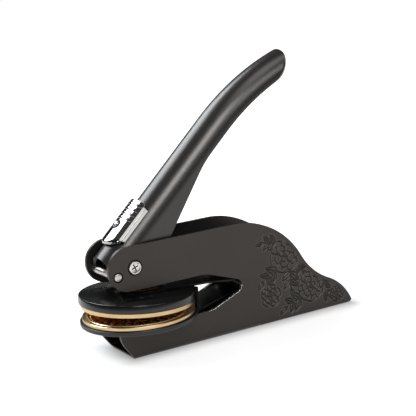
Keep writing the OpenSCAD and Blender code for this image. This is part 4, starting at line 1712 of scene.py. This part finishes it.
@dataclass
class LockSlide:
    """The chrome slide on the handle's back, with its stud and grip ribs."""

    shop: Workshop
    palette: Palette
    repeats: Repeats
    back_n: float = BACK_N
    radius: float = BACK_R
    start: float = 0.9
    length: float = 19.4
    half: float = 5.7
    rise: float = 1.85
    tongue_r: float = 6.6
    cut: float = 1.2
    tongue_end: float = 3.5
    stud_s: float = 9.2
    ribs: int = 4
    rib_pitch: float = 2.05
    rib_first: float = 12.4
    lip: float = 0.6

    def half_at(self, s: float) -> float:
        """Half the slide's width at a place along the handle."""
        ahead = s - self.start
        end = self.start + self.length
        if ahead < self.tongue_r:
            reach = math.sqrt(max(self.tongue_r**2 - (self.tongue_r - ahead) ** 2, 0))
            return min(max(reach, 0.9), self.half)
        return self.half - max(s - (end - self.cut), 0)

    def drop(self, s: float, y: float) -> float:
        """How far the sloping lip round the tongue lies under the plate's top."""
        ahead = s - self.start
        inward = self.tongue_r - math.hypot(max(self.tongue_r - ahead, 0), y)
        return max(self.lip - inward, 0) * (1 - float(smoothstep(2.4, 4.2, ahead)))

    def stations(self) -> list[float]:
        """Places along the handle at which the slide's section is drawn."""
        end = self.start + self.length
        first = self.start + self.tongue_end
        tongue = [self.start + self.tongue_end * (i / 14) ** 2 for i in range(15)]
        body = [first + (end - self.cut - first) * i / 16 for i in range(1, 17)]
        return tongue + body + [end - self.cut * (1 - i / 3) for i in (1, 2, 3)]

    def build_plate(self) -> None:
        """The arched plate with stepped side walls and a sloping lip round the tongue."""
        top = self.radius + self.rise
        rings = []
        for s in self.stations():
            half = self.half_at(s)
            lift = 0.8 * (1 - float(smoothstep(2.0, 3.2, s - self.start)))
            below = self.radius + 0.06 + lift
            ys = [half * math.sin(math.radians(a)) for a in range(-90, 91, 9)]
            over = [(y * 0.94, math.sqrt(top**2 - (y * 0.94) ** 2) - self.drop(s, y)) for y in ys]
            under = [(y, math.sqrt(below**2 - y * y)) for y in ys]
            high, low = over[-1][1] - 0.22 * (1 - self.drop(s, half) / self.lip), under[-1][1]
            high = max(high, low + 0.25)
            step = low + (high - low) * 0.52
            wall = [(half, high), (half, step + 0.12), (half - 0.14, step), (half, step - 0.12)]
            loop = over + wall + under[::-1] + [(-y, n) for y, n in reversed(wall)]
            rings.append([Vector((s, y, self.back_n + n)) for y, n in loop])
        obj = self.shop.object_of("slide_plate", loft(rings))
        self.shop.edged(obj, 0.14, 40, 2)
        obj.data.transform(ON_HANDLE)
        self.shop.finish(
            obj, Body.LOCK_SLIDE, self.palette.chrome, "slide_chrome", ["lock_slide"], smooth=35
        )

    def build_ribs(self) -> None:
        """The grip ribs across the slide's upper half."""
        top = self.radius + self.rise
        reach, steps = 33, 24
        rings = []
        for i in range(steps + 1):
            way = math.radians(reach * (2 * i / steps - 1))
            out = Vector((0, math.sin(way), math.cos(way)))
            at = top * out
            swell = math.sin(math.pi * (0.06 + 0.88 * i / steps)) ** 0.4
            turn = [2 * math.pi * k / 12 for k in range(12)]
            rings.append([
                at + swell * (0.6 * math.cos(a) * Vector((1, 0, 0)) + 0.19 * math.sin(a) * out)
                for a in turn
            ])
        obj = self.shop.object_of("grip_ribs", loft(rings))
        step = Vector((self.rib_pitch, 0, 0))
        self.repeats.row(obj, self.ribs, step, self.palette.chrome)
        obj.data.transform(ON_HANDLE @ Matrix.Translation((self.rib_first, 0, self.back_n)))
        self.shop.finish(obj, Body.LOCK_SLIDE, self.palette.chrome, "slide_chrome", smooth=50)

    def build_on_stud(
        self, name: str, profile: list[Point], material: bpy.types.Material, nodes: Sequence[str]
    ) -> None:
        """A turned piece on the stud's axis."""
        shape = lathe(profile, 48).moved(ON_HANDLE @ Matrix.Translation((self.stud_s, 0, 0)))
        self.shop.piece(name, shape, Body.LOCK_SLIDE, material, "slide_chrome", nodes)

    def build_stud(self) -> None:
        """The domed stud, with its shank through the handle's back."""
        top = self.back_n + self.radius + self.rise
        dome = [(1.35 * math.cos(a), top + 0.1 + 0.6 * math.sin(a))
                for a in (math.radians(9 * i) for i in range(11))]
        low = self.back_n + 4.1
        profile = [(0, low), (1.3, low), (1.7, low + 0.5), (1.05, low + 0.5), (1.05, top - 0.1),
                   (1.35, top - 0.1)] + dome[:-1] + [(0, top + 0.7)]
        self.build_on_stud("stud", profile, self.palette.chrome, ["slide_stud"])

    def build_stud_shadow(self) -> None:
        """A near-black ring round the stud: painted shadow."""
        top = self.back_n + self.radius + self.rise
        ring = [(1.36, top - 0.6), (1.9, top - 0.6), (1.9, top + 0.1), (1.36, top + 0.1)]
        self.build_on_stud("stud_shadow_ring", ring, self.palette.gap, [])

    def build(self) -> None:
        """Every piece of the slide."""
        self.build_plate()
        self.build_ribs()
        self.build_stud_shadow()
        self.build_stud()


# ------------------------------------------------------------------ studio


@dataclass
class Studio:
    """Floor, light and the camera at the photograph's angle."""

    azimuth: float = -29.851
    elevation: float = 11.817
    roll: float = -4.737
    distance: float = 0.43009
    target: Vector = field(default_factory=lambda: Vector((-0.001092, 0, 0.046904)))
    lens: float = 100.0
    lamp_distance: float = 0.9
    foot: tuple[Point, Point] = ((0.007, 0.048), (0.0, 0.0095))

    def build_camera(self) -> None:
        """The camera, placed by its angles round the object's middle."""
        a, e, r = (math.radians(v) for v in (self.azimuth, self.elevation, self.roll))
        back = Vector((math.sin(a) * math.cos(e), -math.cos(a) * math.cos(e), math.sin(e)))
        right = Vector((math.cos(a), math.sin(a), 0))
        up = back.cross(right)
        side = right * math.cos(r) + up * math.sin(r)
        top = up * math.cos(r) - right * math.sin(r)
        data = bpy.data.cameras.new("camera")
        data.lens, data.sensor_width = self.lens, 36.0
        data.clip_start, data.clip_end = 0.01, 20.0
        camera = linked("camera", data)
        place = Matrix((side, top, back)).transposed().to_4x4()
        place.translation = self.target + back * self.distance
        camera.matrix_world = place
        bpy.context.scene.camera = camera

    def build_floor(self) -> None:
        """A floor that shows white, with painted shadow round the object's footprint.

        The footprint is kept in metres, as middle and half length along x and y.
        """
        mesh = bpy.data.meshes.new("floor")
        reach = 4.0
        mesh.from_pydata(
            [(-reach, -reach, 0), (reach, -reach, 0), (reach, reach, 0), (-reach, reach, 0)],
            [], [(0, 1, 2, 3)],
        )
        floor = linked("floor", mesh)
        material, g, place = new_material("floor")
        beyond = []
        for axis, (middle, half) in zip("XY", self.foot):
            along = g.part(place, axis) - middle
            beyond.append((along.at_least(0 - along) - half).at_least(0))
        gap = (beyond[0] * beyond[0] + beyond[1] * beyond[1]) ** 0.5
        # The glow is weaker near the footprint, a painted shadow; the wider ring also darkens the
        # floor seen in reflections.
        pale = 0.2 + gap.eased(-0.003, 0.009) * 0.5 + gap.eased(0.01, 0.12) * 0.27
        seen = g.rays("Camera", "Glossy", "Transmission")
        glow = g.node(
            "ShaderNodeEmission", None, {"Color": (1, 1, 1, 1), "Strength": seen * pale}
        )
        paint = g.node("ShaderNodeBsdfDiffuse", None, {"Color": (0.35, 0.35, 0.35, 1)})
        both = g.node("ShaderNodeAddShader", None, {0: glow, 1: paint})
        g.node("ShaderNodeOutputMaterial", None, {"Surface": both})
        mesh.materials.append(material)
        floor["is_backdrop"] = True

    def build_world(self) -> None:
        """White to the camera; polished metal sees a dark room with a bright spot overhead."""
        world = bpy.data.worlds.new("studio")
        bpy.context.scene.world = world
        world.use_nodes = True
        world.node_tree.nodes.clear()
        g = Graph(world.node_tree)
        way = g.node("ShaderNodeTexCoord", out="Generated")
        spot = g.vector("DOT_PRODUCT", way, (0.03, -0.32, 0.947), out="Value")
        high = g.part(way, "Z")
        room = 0.012 + high.eased(0.28, 0.6) * 0.06 + spot.eased(0.95, 0.99) * 3.0
        glossy, direct = g.rays("Glossy"), g.rays("Camera", "Transmission")
        strength = direct + (1 - direct) * (glossy * room + (1 - glossy) * 0.5)
        light = g.node("ShaderNodeBackground", None, {"Color": (1, 1, 1, 1), "Strength": strength})
        g.node("ShaderNodeOutputWorld", None, {"Surface": light})

    def build_lamp(
        self,
        name: str,
        way: Sequence[float],
        size: Point,
        radiance: float,
        colour: tuple[float, float, float],
    ) -> None:
        """A soft box that shines on the object's middle.

        Args:
            name: Its name.
            way: Direction from the object to the lamp.
            size: Width and height, in metres.
            radiance: How bright its face is, where white paper in full light is 1.
            colour: The colour of its light.
        """
        data = bpy.data.lights.new(name, "AREA")
        data.shape, data.size, data.size_y = "RECTANGLE", size[0], size[1]
        data.energy = radiance * math.pi * size[0] * size[1]
        data.color = colour
        lamp = linked(name, data)
        out = Vector(way).normalized()
        lamp.matrix_world = Matrix.Translation(
            self.target + out * self.lamp_distance
        ) @ out.to_track_quat("Z", "Y").to_matrix().to_4x4()

    def build(self) -> None:
        """Camera, floor, world and lamps."""
        bpy.context.scene.view_settings.view_transform = "Standard"
        self.build_camera()
        self.build_floor()
        self.build_world()
        white, cool = (1.0, 1.0, 1.0), (0.92, 0.965, 1.0)
        self.build_lamp("front_box", (-0.25, -0.74, 0.62), (0.32, 0.32), 12.0, white)
        self.build_lamp("front_side_box", (0.22, -0.79, 0.57), (0.32, 0.26), 5.0, white)
        self.build_lamp("rear_box", (-0.33, 0.66, 0.68), (0.74, 0.46), 8.0, cool)


def keep_cad_looks(frame: dict[str, Any], palette: Palette) -> None:
    """Dresses the one CAD node that stays in view."""
    node = frame["nodes"]["slide_catch"]
    node.data.materials.clear()
    node.data.materials.append(palette.steel)
    LOG.info("slide_catch: CAD node, dressed")


def corners(box: Iterable[Vector]) -> list[list[float]]:
    """A box's two corners as plain lists."""
    return [list(c) for c in box]


def main() -> None:
    """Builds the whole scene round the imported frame."""
    logging.basicConfig(level=logging.INFO, format="%(name)s: %(message)s")
    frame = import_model()
    cad_box = corners(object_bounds())
    palette = Palette()
    shop = Workshop()
    repeats = Repeats(shop)
    folded = FoldedFrame(shop, palette)
    folded.build()
    Engraving(shop, palette, folded.field_edge()).build()
    PivotSet(shop, palette).build()
    DieSet(shop, palette, repeats).build()
    Handle(shop, palette).build()
    LockSlide(shop, palette, repeats).build()
    keep_cad_looks(frame, palette)
    Studio().build()
    LOG.info("%d pieces made", len(shop.made))
    {"cad": cad_box, "visual": corners(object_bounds())}


if __name__ == "__main__":
    main()
